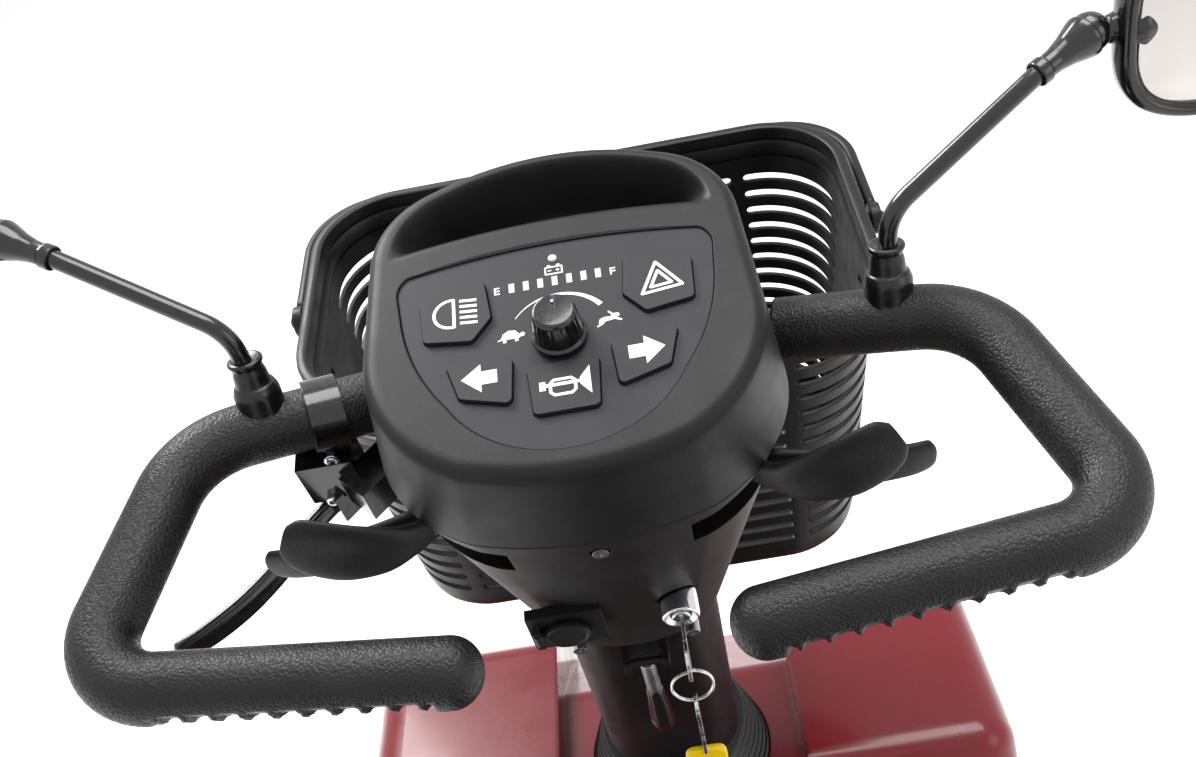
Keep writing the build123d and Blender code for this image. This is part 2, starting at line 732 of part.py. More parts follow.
with BuildPart(TILLER) as speed_knob:
    with BuildSketch(TILLER.offset(0)):
        Circle(13)
    extrude(amount=22, taper=6)
    fillet(speed_knob.faces().sort_by(Axis(at(0, 0, 0), TILLER.z_dir))[-1].edges(), 2)
    with Locations((0, 7, 22)):
        Box(2, 9, 1.6, mode=Mode.SUBTRACT)
    with Locations((0, 0, -8)):
        Cylinder(3, 16)
save(speed_knob.part, "speed_knob")

with BuildPart(TILLER) as circuit_board:
    with Locations((0, 0, -29)):
        Box(150, 84, 2)
    with Locations((0, 0, -18)):
        Cylinder(9, 20)
    with Locations((-56, 26, -20), (56, 26, -20), (-43, -21, -20), (43, -21, -20), (0, -33, -20)):
        Box(12, 12, 16)
    with Locations((0, 0, -13)):
        Cylinder(3 + RUNNING, 14, mode=Mode.SUBTRACT)
save(circuit_board.part, "circuit_board")

with BuildPart(TILLER) as head_screws:
    # One at the rear of the band, two low on the rear face, and two below each side slot
    for screw_u, screw_v, screw_w in ((0, -85.5, -82), (-38, -56, -256), (38, -56, -256)):
        with Locations(Location((screw_u, screw_v + 6, screw_w), (90, 0, 0))):
            Cylinder(4.5, 14)
        with Locations((screw_u, screw_v - 1, screw_w)):
            Box(5, 2, 1, mode=Mode.SUBTRACT)
            Box(1, 2, 5, mode=Mode.SUBTRACT)
save(head_screws.part, "head_screws")

SOCKET = (-36, -190)
LOCK = (34, -187)
LOCK_FACE_V = -78
with BuildPart(TILLER) as charger_socket:
    with Locations((SOCKET[0], -69.5, SOCKET[1])):
        Box(46, 7, 40)
    with Locations(Location((SOCKET[0], -58, SOCKET[1]), (90, 0, 0))):
        Cylinder(12, 26)
    with Locations(Location((SOCKET[0], -66, SOCKET[1]), (90, 0, 0))):
        Cylinder(8, 20, mode=Mode.SUBTRACT)
    # Three contact pins in the socket, and the cap's hinge pin between two lugs
    for pin_u, pin_w in ((0, 4), (-3.5, -2.5), (3.5, -2.5)):
        with Locations(Location((SOCKET[0] + pin_u, -56, SOCKET[1] + pin_w), (90, 0, 0))):
            Cylinder(1.2, 16)
    with Locations((SOCKET[0] - 18, -75.5, SOCKET[1] - 9), (SOCKET[0] - 18, -75.5, SOCKET[1] + 9)):
        Box(5, 6, 3)
    with Locations((SOCKET[0] - 18, -76.5, SOCKET[1])):
        Cylinder(1.5, 20)
save(charger_socket.part, "charger_socket")

with BuildPart(TILLER) as charger_cap:
    with Locations(Location((SOCKET[0], -76, SOCKET[1]), (90, 0, 0))):
        Cylinder(14, 4.4)
    with Locations((SOCKET[0] - 15, -76.5, SOCKET[1])):
        Box(6, 3, 12)
    with Locations((SOCKET[0] - 18, -76.5, SOCKET[1])):
        Cylinder(2.9, 13)
        Cylinder(1.5 + RUNNING, 30, mode=Mode.SUBTRACT)
save(charger_cap.part, "charger_cap")

with BuildPart(TILLER) as ignition_lock:
    with Locations(Location((LOCK[0], LOCK_FACE_V + 18, LOCK[1]), (90, 0, 0))):
        Cylinder(11, 36)
    with Locations(Location((LOCK[0], LOCK_FACE_V + 12, LOCK[1]), (90, 0, 0))):
        Cylinder(6 + RUNNING, 24, mode=Mode.SUBTRACT)
save(ignition_lock.part, "ignition_lock")

KEY_HOLE_V = LOCK_FACE_V - 34
with BuildPart(TILLER) as key:
    with Locations(Location((LOCK[0], LOCK_FACE_V + 10, LOCK[1]), (90, 0, 0))):
        Cylinder(6, 20.6)
    with Locations((LOCK[0], LOCK_FACE_V - 10, LOCK[1])):
        Box(2.2, 20, 8)
    with BuildSketch(tiller_plane(LOCK[0] - 1.1, KEY_HOLE_V + 4, LOCK[1], (1, 0, 0), (0, 1, 0))):
        RectangleRounded(22, 22, 8)
        with Locations((-4, 0)):
            Circle(4, mode=Mode.SUBTRACT)
    extrude(amount=2.2)
save(key.part, "key")

# The ring hangs straight down from the key, and the spare key from the ring
RING_R = 12.5
WIRE_R = 0.9
key_hole = at(LOCK[0], KEY_HOLE_V, LOCK[1])
ring_top = key_hole - Vector(0, 0, 2.4)
ring_centre = ring_top - Vector(0, 0, RING_R)
spare_hole = ring_centre - Vector(0, 0, RING_R + 2.4)
with BuildPart() as key_ring_set:
    with Locations(Location(tuple(ring_centre), (90, 0, 0))):
        Torus(RING_R, WIRE_R)
    with BuildSketch(Plane(origin=spare_hole - Vector(1.1, 0, 0), x_dir=(0, 1, 0), z_dir=(1, 0, 0))):
        with Locations((0, -3)):
            RectangleRounded(15, 15, 5)
        with Locations((0, -26)):
            Rectangle(7, 36)
        with Locations((0, 0)):
            Circle(3.5, mode=Mode.SUBTRACT)
    extrude(amount=2.2)
    with Locations(Location(tuple(spare_hole - Vector(0, 0, 54)))):
        Box(26, 5, 24)
save(key_ring_set.part, "key_ring_set")

# =====================================================================================
# Speed paddles: thumb and finger blades on each side of one hub
# =====================================================================================
with BuildPart(TILLER) as speed_paddles:
    with Locations((0, 0, -79)):
        Cylinder(20, 14)
    for side in (-1, 1):
        with BuildSketch(TILLER.offset(-86)):
            with BuildLine():
                Polyline((0, 10), (side * 70, -26), (side * 118, -50), (side * 112, -64), (side * 64, -44), (0, -14),
                         close=True)
            make_face()
        extrude(amount=14)
        # Thumb blade, curving towards the rider, above the arm
        with BuildSketch(TILLER.offset(-84)):
            with BuildLine():
                ThreePointArc((side * 107, -64), (side * 134, -74), (side * 163, -66))
                Line((side * 163, -66), (side * 161, -58))
                ThreePointArc((side * 161, -58), (side * 134, -65), (side * 110, -55))
                Line((side * 110, -55), (side * 107, -64))
            make_face()
        extrude(amount=54)
        # Finger blade, further out and below the bar
        with BuildSketch(TILLER.offset(-104)):
            with BuildLine():
                ThreePointArc((side * 108, -50), (side * 150, -60), (side * 186, -58))
                Line((side * 186, -58), (side * 186, -50))
                ThreePointArc((side * 186, -50), (side * 150, -52), (side * 110, -44))
                Line((side * 110, -44), (side * 108, -50))
            make_face()
        extrude(amount=32)
    with Locations((0, 0, -79)):
        Cylinder(8 + RUNNING, 30, mode=Mode.SUBTRACT)
save(speed_paddles.part, "speed_paddles")

# =====================================================================================
# Brake lever, its clamp and its cable
# =====================================================================================
BRAKE_PIVOT = (-160, 8, -126)
BLADE_DIRECTION = (-0.715, -0.699, 0)
BLADE_LENGTH = 130
BLADE_PLANE = tiller_plane(*BRAKE_PIVOT, (BLADE_DIRECTION[1], -BLADE_DIRECTION[0], 0), BLADE_DIRECTION)
clamp_centre = at(-150, 26.1, -64.1)
bar_direction = at(-223, 5, -48) - at(-98, 41.1, -75.6)
clamp_plane = Plane(origin=clamp_centre, z_dir=bar_direction)

with BuildPart() as brake_bracket:
    with BuildSketch(clamp_plane.offset(-10)):
        Circle(22)
    extrude(amount=20)
    with Locations(tiller_plane(-156, 12, -98, (0, 0, 1)).location):
        Box(34, 24, 36)
    with BuildSketch(BLADE_PLANE.offset(8)):
        with Locations((0, 5)):
            Rectangle(16, 24)
    extrude(amount=3.5)
    with BuildSketch(BLADE_PLANE.offset(-11.5)):
        with Locations((0, 5)):
            Rectangle(16, 24)
    extrude(amount=3.5)
    with BuildSketch(BLADE_PLANE.offset(-11.5)):
        Circle(3)
    extrude(amount=23)
    # Brake light switch, and the cable's adjuster
    with Locations(tiller_plane(-131, 1, -104, (0, 0, 1), (0.715, 0.699, 0)).location):
        Box(32, 22, 26)
    with Locations(tiller_plane(-116, 15.5, -104, (0.715, 0.699, 0)).location):
        Cylinder(4.5, 9)
    with BuildSketch(clamp_plane.offset(-60)):
        Circle(FOAM_R + 0.3)
    extrude(amount=120, mode=Mode.SUBTRACT)
save(brake_bracket.part, "brake_bracket")

with BuildPart() as brake_lever:
    with BuildSketch(BLADE_PLANE.offset(-7)):
        Circle(7)
        with Locations((14, 0)):
            Rectangle(30, 8)
    extrude(amount=14)
    with BuildSketch(BLADE_PLANE.offset(-9.5)):
        with BuildLine():
            Line((24, 4), (24, -4))
            ThreePointArc((24, -4), (80, -9), (BLADE_LENGTH, -3))
            Line((BLADE_LENGTH, -3), (BLADE_LENGTH, 4))
            ThreePointArc((BLADE_LENGTH, 4), (80, -1), (24, 4))
        make_face()
    extrude(amount=19)
    with BuildSketch(BLADE_PLANE.offset(-20)):
        Circle(3 + RUNNING)
    extrude(amount=40, mode=Mode.SUBTRACT)
save(brake_lever.part, "brake_lever")

CABLE_R = 2.5
CABLE_POINTS = [
    (-112, 19, -104), (-95, 29, -108), (-78, 34, -119), (-64, 33, -136), (-52, 28, -156), (-46, 22, -182),
    (-44, 17, -212), (-44, 14, -244),
]


def cable_radii(points):
    """The largest tangent arc that each inner point of a cable's route allows."""
    places = [Vector(*point) for point in points]
    radii = []
    for before, corner, after in zip(places, places[1:], places[2:]):
        turn = (corner - before).get_angle(after - corner)
        shorter = min((corner - before).length, (after - corner).length)
        radii.append(0.45 * shorter / tan(radians(turn / 2)))
    return radii


print("brake cable bend radii:", [round(radius) for radius in cable_radii(CABLE_POINTS)])
with BuildPart() as brake_cable:
    bent_rod([at(*point) for point in CABLE_POINTS], cable_radii(CABLE_POINTS), CABLE_R)
    add(brake_bracket.part, mode=Mode.SUBTRACT)
save(brake_cable.part, "brake_cable")
with BuildPart() as cable_hole:
    bent_rod([at(*point) for point in CABLE_POINTS], cable_radii(CABLE_POINTS), CABLE_R + 0.4)

# =====================================================================================
# Housing halves, cut for everything that passes through them
# =====================================================================================
with BuildPart() as bar_hole:
    add(bar_clearance)
    mirror(about=Plane.YZ)

PANEL_BAY_V = 66
with BuildPart() as bay:
    loft([
        console_outline(-5, RIM_HALF_WIDTH - HOUSING_WALL, RIM_REAR + HOUSING_WALL, RIM_FRONT - HOUSING_WALL),
        console_outline(SEAM_W, SEAM_HALF_WIDTH - HOUSING_WALL, SEAM_REAR + HOUSING_WALL, SEAM_FRONT - HOUSING_WALL),
    ])
    split(bisect_by=tiller_plane(0, PANEL_BAY_V, 0, (0, -1, 0)))

with BuildPart() as head_upper_shell:
    loft([
        console_outline(SEAM_W, SEAM_HALF_WIDTH, SEAM_REAR, SEAM_FRONT),
        console_outline(0, RIM_HALF_WIDTH, RIM_REAR, RIM_FRONT),
    ])
    add(bay.part, mode=Mode.SUBTRACT)
    extrude(panel_outline(-6, 0), amount=10, mode=Mode.SUBTRACT)
    # Storage scoop ahead of the face plate
    with BuildSketch(TILLER.offset(0)):
        with BuildLine():
            ThreePointArc((-72, 121), (0, 133), (72, 121))
            ThreePointArc((72, 121), (86, 108), (92, 86))
            Line((92, 86), (92, 74))
            ThreePointArc((92, 74), (0, 82), (-92, 74))
            Line((-92, 74), (-92, 86))
            ThreePointArc((-92, 86), (-86, 108), (-72, 121))
        make_face()
    extrude(amount=-42, taper=10, mode=Mode.SUBTRACT)
    add(bar_hole.part, mode=Mode.SUBTRACT)
save(head_upper_shell.part, "head_upper_shell")

with BuildPart() as lower_bay:
    loft([
        console_outline(HOUSING_BOTTOM_W + HOUSING_WALL, 58, -49, 62),
        console_outline(SEAM_W, SEAM_HALF_WIDTH - HOUSING_WALL, SEAM_REAR + HOUSING_WALL, SEAM_FRONT - HOUSING_WALL),
    ])

with BuildPart() as head_lower_shell:
    loft([
        console_outline(HOUSING_BOTTOM_W, 62, -53, 66),
        console_outline(SEAM_W - 0.4, SEAM_HALF_WIDTH, SEAM_REAR, SEAM_FRONT),
    ])
    add(lower_bay.part, mode=Mode.SUBTRACT)
    # Slots for the paddle arms, and the hole for the column
    for side in (-1, 1):
        with Locations(tiller_plane(side * 100, -45, -78, (0, 0, 1)).location):
            Box(100, 112, 26, mode=Mode.SUBTRACT)
    with Locations(tiller_plane(0, COLUMN_V, HOUSING_BOTTOM_W, (0, 0, 1)).location):
        Cylinder(23, 20, mode=Mode.SUBTRACT)
    add(bar_hole.part, mode=Mode.SUBTRACT)
    add(cable_hole.part, mode=Mode.SUBTRACT)
    add(charger_socket.part, mode=Mode.SUBTRACT)
    with Locations(tiller_plane(SOCKET[0], -60, SOCKET[1], (0, -1, 0)).location):
        Cylinder(12, 60, mode=Mode.SUBTRACT)
    with Locations(tiller_plane(LOCK[0], -60, LOCK[1], (0, -1, 0)).location):
        Cylinder(11, 60, mode=Mode.SUBTRACT)
    add(head_screws.part, mode=Mode.SUBTRACT)
save(head_lower_shell.part, "head_lower_shell")

# =====================================================================================
# Basket and its carrying handle
# =====================================================================================
BASKET_HEIGHT = 262
BASKET_WALL = 3.5
SLOT_HEIGHT = 7
SLOT_PITCH = 15.5
FIRST_SLOT = 45
SLOT_ROWS = 13
POST_INNER = 128                # upright posts between the slots of a wall and those round a corner
POST_OUTER = 138
HANDLE_PIVOT = (120, -22)       # depth and height of the handle's studs


def basket_section(level, half_width, near, far):
    """Rounded outline of the basket at one height, between its near and far sides."""
    with BuildSketch(BASKET.offset(level)) as outline:
        with Locations((0, (near + far) / 2)):
            RectangleRounded(2 * half_width, far - near, 42)
    return outline.sketch


with BuildPart(BASKET) as basket_inside:
    loft([
        basket_section(-BASKET_HEIGHT + BASKET_WALL, 184 - BASKET_WALL, BASKET_WALL, 212 - BASKET_WALL),
        basket_section(10, 210 - BASKET_WALL, BASKET_WALL, 240 - BASKET_WALL),
    ])

with BuildPart(BASKET) as basket_slots:
    for row in range(SLOT_ROWS):
        level = -(FIRST_SLOT + row * SLOT_PITCH)
        for side in (-1, 1):
            with Locations((side * (POST_INNER + 5) / 2, 120, level)):
                Box(POST_INNER - 5, 320, SLOT_HEIGHT)
            with Locations((side * (POST_OUTER + 62), 235, level), (side * (POST_OUTER + 62), 5, level)):
                Box(124, 158, SLOT_HEIGHT)

with BuildPart() as basket:
    loft([basket_section(-BASKET_HEIGHT, 184, 0, 212), basket_section(0, 209, 0, 239)])
    # Thick stepped lip
    with BuildSketch(BASKET.offset(-14)):
        with Locations((0, 120)):
            RectangleRounded(428, 250, 47)
    extrude(amount=14)
    add(basket_inside.part, mode=Mode.SUBTRACT)
    add(basket_slots.part, mode=Mode.SUBTRACT)
    # Studs that the handle turns on, and the lug that hangs the basket on its plate
    for side in (-1, 1):
        with Locations(BASKET.location * Location((side * 217, HANDLE_PIVOT[0], HANDLE_PIVOT[1]), (0, 90, 0))):
            Cylinder(5, 26)
    with Locations(BASKET.location * Location((0, -6, -86))):
        Box(110, 12, 6)
save(basket.part, "basket")

# The handle lies forward round the lip at rest
HANDLE_X = 222
with BuildPart(BASKET) as basket_handle:
    for side in (-1, 1):
        with Locations((side * HANDLE_X, HANDLE_PIVOT[0] + 66, HANDLE_PIVOT[1])):
            Box(8, 152, 14)
        with Locations(Location((side * HANDLE_X, HANDLE_PIVOT[0], HANDLE_PIVOT[1]), (0, 90, 0))):
            Cylinder(11, 8)
            Cylinder(5 + RUNNING, 30, mode=Mode.SUBTRACT)
    with Locations((0, HANDLE_PIVOT[0] + 138, HANDLE_PIVOT[1])):
        Box(2 * HANDLE_X + 8, 12, 14)
save(basket_handle.part, "basket_handle")
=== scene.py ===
"""Mobility scooter: finishes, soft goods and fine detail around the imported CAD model."""
import math

import bmesh
import bpy
from mathutils import Matrix, Vector


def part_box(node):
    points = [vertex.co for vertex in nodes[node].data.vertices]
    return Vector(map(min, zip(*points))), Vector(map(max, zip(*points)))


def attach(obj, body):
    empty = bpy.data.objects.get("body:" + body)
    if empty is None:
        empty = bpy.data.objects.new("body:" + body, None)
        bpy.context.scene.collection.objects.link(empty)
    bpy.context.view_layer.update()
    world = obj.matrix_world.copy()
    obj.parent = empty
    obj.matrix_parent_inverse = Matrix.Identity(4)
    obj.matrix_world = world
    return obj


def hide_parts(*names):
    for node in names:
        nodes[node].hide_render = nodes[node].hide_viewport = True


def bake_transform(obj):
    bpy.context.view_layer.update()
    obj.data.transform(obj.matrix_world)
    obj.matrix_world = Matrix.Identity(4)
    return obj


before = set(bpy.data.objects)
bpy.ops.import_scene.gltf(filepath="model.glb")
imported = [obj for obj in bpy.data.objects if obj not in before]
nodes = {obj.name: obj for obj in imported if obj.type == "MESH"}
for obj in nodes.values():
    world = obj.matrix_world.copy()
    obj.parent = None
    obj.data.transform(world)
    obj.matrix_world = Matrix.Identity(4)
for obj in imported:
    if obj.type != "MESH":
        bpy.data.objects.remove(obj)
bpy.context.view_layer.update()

MM = 0.001

# The tiller's own frame: u across, v up the console's face, w out of it, in millimetres
RAKE = math.radians(18)
CONSOLE = Vector((0, 0.176, 0.955))
AXIS_U = Vector((1, 0, 0))
AXIS_V = Vector((0, math.cos(RAKE), math.sin(RAKE)))
AXIS_W = Vector((0, -math.sin(RAKE), math.cos(RAKE)))


def turn(u, v, w):
    """A direction given in the tiller's frame."""
    return AXIS_U * u + AXIS_V * v + AXIS_W * w


def at(u, v, w):
    """World position of a point given in the tiller's frame, in millimetres."""
    return CONSOLE + turn(u, v, w) * MM


# ------------------------------------------------------------------------------------
# Mesh helpers
# ------------------------------------------------------------------------------------
def solid(name, verts, faces, merge=0.0):
    """An object in the scene, its normals outwards, from vertices and faces."""
    mesh = bpy.data.meshes.new(name)
    mesh.from_pydata([tuple(v) for v in verts], [], faces)
    shape = bmesh.new()
    shape.from_mesh(mesh)
    if merge:
        bmesh.ops.remove_doubles(shape, verts=shape.verts, dist=merge)
    bmesh.ops.recalc_face_normals(shape, faces=shape.faces)
    shape.to_mesh(mesh)
    shape.free()
    piece = bpy.data.objects.new(name, mesh)
    bpy.context.scene.collection.objects.link(piece)
    return piece


def shade(piece, smooth=True):
    """Smooth or flat shading on every face."""
    piece.data.polygons.foreach_set("use_smooth", [smooth] * len(piece.data.polygons))


def baked(piece):
    """The piece's mesh with its modifiers applied."""
    bpy.context.view_layer.update()
    return bpy.data.meshes.new_from_object(piece.evaluated_get(bpy.context.evaluated_depsgraph_get()))


def make(name, verts, faces, body, material, replaces=(), slot=None, flat=False, merge=0.0):
    """A mesh piece that rides on a body."""
    piece = solid(name, verts, faces, merge)
    shade(piece, not flat)
    piece.data.materials.append(material)
    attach(piece, body)
    if replaces:
        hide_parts(*([replaces] if isinstance(replaces, str) else replaces))
    return piece


def skin(rings, start=True, end=True):
    """Vertices and faces of a closed skin over rings with the same number of points."""
    verts = [p for ring in rings for p in ring]
    count = len(rings[0])
    faces = []
    for k in range(len(rings) - 1):
        for i in range(count):
            j = (i + 1) % count
            faces.append((k * count + i, k * count + j, (k + 1) * count + j, (k + 1) * count + i))
    for is_closed, base in ((start, 0), (end, (len(rings) - 1) * count)):
        if is_closed:
            middle = sum((Vector(p) for p in verts[base:base + count]), Vector()) / count
            verts.append(middle)
            faces += [(base + i, base + (i + 1) % count, len(verts) - 1) for i in range(count)]
    return verts, faces


def crease(piece, degrees=38):
    """Sharp shading where faces meet at more than that angle."""
    shape = bmesh.new()
    shape.from_mesh(piece.data)
    for edge in shape.edges:
        if len(edge.link_faces) == 2 and edge.calc_face_angle(0) > math.radians(degrees):
            edge.smooth = False
    shape.to_mesh(piece.data)
    shape.free()


def rounded(points, radii, step=0.002):
    """Points along straight runs joined by tangent arcs."""
    corners = [Vector(p) for p in points]
    route = [corners[0]]

    def run_to(target):
        start = route[-1]
        count = max(1, round((target - start).length / step))
        route.extend(start.lerp(target, k / count) for k in range(1, count + 1))

    for before, corner, after, radius in zip(corners, corners[1:], corners[2:], radii):
        back, onward = (before - corner).normalized(), (after - corner).normalized()
        half = (math.pi - back.angle(onward)) / 2
        reach = radius * math.tan(half)
        run_to(corner + back * reach)
        centre = corner + (back + onward).normalized() * (radius / math.cos(half))
        spoke = route[-1] - centre
        axis = spoke.cross(corner - centre)
        count = max(2, round(radius * 2 * half / step))
        for k in range(1, count + 1):
            route.append(centre + Matrix.Rotation(2 * half * k / count, 3, axis) @ spoke)
    run_to(corners[-1])
    return route


def frames(route, up):
    """Tangent, side and normal at each point of a route, carried along without twist."""
    found = []
    normal = Vector(up)
    for k, point in enumerate(route):
        tangent = (route[min(k + 1, len(route) - 1)] - route[max(k - 1, 0)]).normalized()
        normal = (normal - tangent * normal.dot(tangent)).normalized()
        found.append((point, tangent, tangent.cross(normal), normal))
    return found


def tube(route, radius, sides=24, up=(0, 0, 1), stretch=1.0):
    """Rings of a round tube along a route; the radius may change with the share of the way."""
    rings = []
    last = len(route) - 1
    for k, (point, _, side, normal) in enumerate(frames(route, up)):
        r = radius(k / last) if callable(radius) else radius
        rings.append([
            point + (side * math.cos(a) * stretch + normal * math.sin(a)) * r
            for a in (2 * math.pi * i / sides for i in range(sides))
        ])
    return rings


def lathe(profile, origin, axis, sides=48):
    """Rings of a turned piece: profile gives radius and height, in metres, along the axis."""
    axis = Vector(axis).normalized()
    side = axis.orthogonal().normalized()
    other = axis.cross(side)
    return [
        [
            origin + axis * height + (side * math.cos(a) + other * math.sin(a)) * max(radius, 1e-5)
            for a in (2 * math.pi * i / sides for i in range(sides))
        ]
        for radius, height in profile
    ]


def soft_profile(points, radius, steps=5):
    """A radius and height profile with its corners rounded."""
    flat = [Vector((x, y, 0)) for x, y in points]
    out = [flat[0]]
    for before, corner, after in zip(flat, flat[1:], flat[2:]):
        cut = min(radius, (before - corner).length * 0.45, (after - corner).length * 0.45)
        a = corner + (before - corner).normalized() * cut
        b = corner + (after - corner).normalized() * cut
        for k in range(steps + 1):
            t = k / steps
            out.append(a.lerp(corner, t).lerp(corner.lerp(b, t), t))
    out.append(flat[-1])
    return [(p.x * MM, p.y * MM) for p in out]


def turned(name, points, softness, origin, axis, sides, body, finish, replaces=(), slot=None):
    """A turned piece from a profile of radius and height, in millimetres."""
    rings = lathe(soft_profile(points, softness), origin, axis, sides)
    make(name, *skin(rings), body, finish, replaces, slot)


def flattened(value, power):
    """A sine or cosine pushed outwards, so that a circle turns into a rounded box."""
    return math.copysign(abs(value) ** power, value)


def smooth_step(x):
    x = min(1.0, max(0.0, x))
    return x * x * (3 - 2 * x)


def bump_at(x, centre, half):
    """A smooth hump, 1 at its centre and 0 beyond its half width."""
    return smooth_step(1 - abs(x - centre) / half)


def arc3(a, b, c, count=24):
    """Points on the arc through three points of a plane, without the last one."""
    (ax, ay), (bx, by), (cx, cy) = a, b, c
    d = 2 * (ax * (by - cy) + bx * (cy - ay) + cx * (ay - by))
    sa, sb, sc = ax * ax + ay * ay, bx * bx + by * by, cx * cx + cy * cy
    x = (sa * (by - cy) + sb * (cy - ay) + sc * (ay - by)) / d
    y = (sa * (cx - bx) + sb * (ax - cx) + sc * (bx - ax)) / d
    start, mid, end = (math.atan2(p[1] - y, p[0] - x) for p in (a, b, c))
    sweep = (end - start) % (2 * math.pi)
    if (mid - start) % (2 * math.pi) > sweep:
        sweep -= 2 * math.pi
    radius = math.hypot(ax - x, ay - y)
    return [
        (x + radius * math.cos(start + sweep * k / count), y + radius * math.sin(start + sweep * k / count))
        for k in range(count)
    ]


def even(loop, count):
    """A closed plane loop resampled to evenly spaced points."""
    closed = loop + loop[:1]
    lengths = [0.0]
    for (x0, y0), (x1, y1) in zip(closed, closed[1:]):
        lengths.append(lengths[-1] + math.hypot(x1 - x0, y1 - y0))
    out, k = [], 0
    for i in range(count):
        target = lengths[-1] * i / count
        while lengths[k + 1] < target:
            k += 1
        t = (target - lengths[k]) / max(1e-9, lengths[k + 1] - lengths[k])
        (x0, y0), (x1, y1) = closed[k], closed[k + 1]
        out.append((x0 + (x1 - x0) * t, y0 + (y1 - y0) * t))
    return out


def inset(loop, amount):
    """A closed loop moved inwards, each point along its own normal."""
    count = len(loop)
    out = []
    for i, (x, y) in enumerate(loop):
        (x0, y0), (x1, y1) = loop[i - 1], loop[(i + 1) % count]
        dx, dy = x1 - x0, y1 - y0
        length = math.hypot(dx, dy) or 1.0
        out.append((x - dy / length * amount, y + dx / length * amount))
    return out


def cut(piece, verts, faces):
    """Cuts a closed solid out of a piece's mesh."""
    cutter = solid("cutter", verts, faces)
    modifier = piece.modifiers.new("cut", "BOOLEAN")
    modifier.operation = "DIFFERENCE"
    modifier.object = cutter
    modifier.solver = "EXACT"
    result = baked(piece)
    piece.modifiers.clear()
    piece.data = result
    bpy.data.objects.remove(cutter)


# ------------------------------------------------------------------------------------
# Materials
# ------------------------------------------------------------------------------------
def linear(hex_colour):
    """A display colour such as 3a3b3c as linear RGBA."""
    parts = [int(hex_colour[k:k + 2], 16) / 255 for k in (0, 2, 4)]
    return tuple(c / 12.92 if c <= 0.04045 else ((c + 0.055) / 1.055) ** 2.4 for c in parts) + (1.0,)


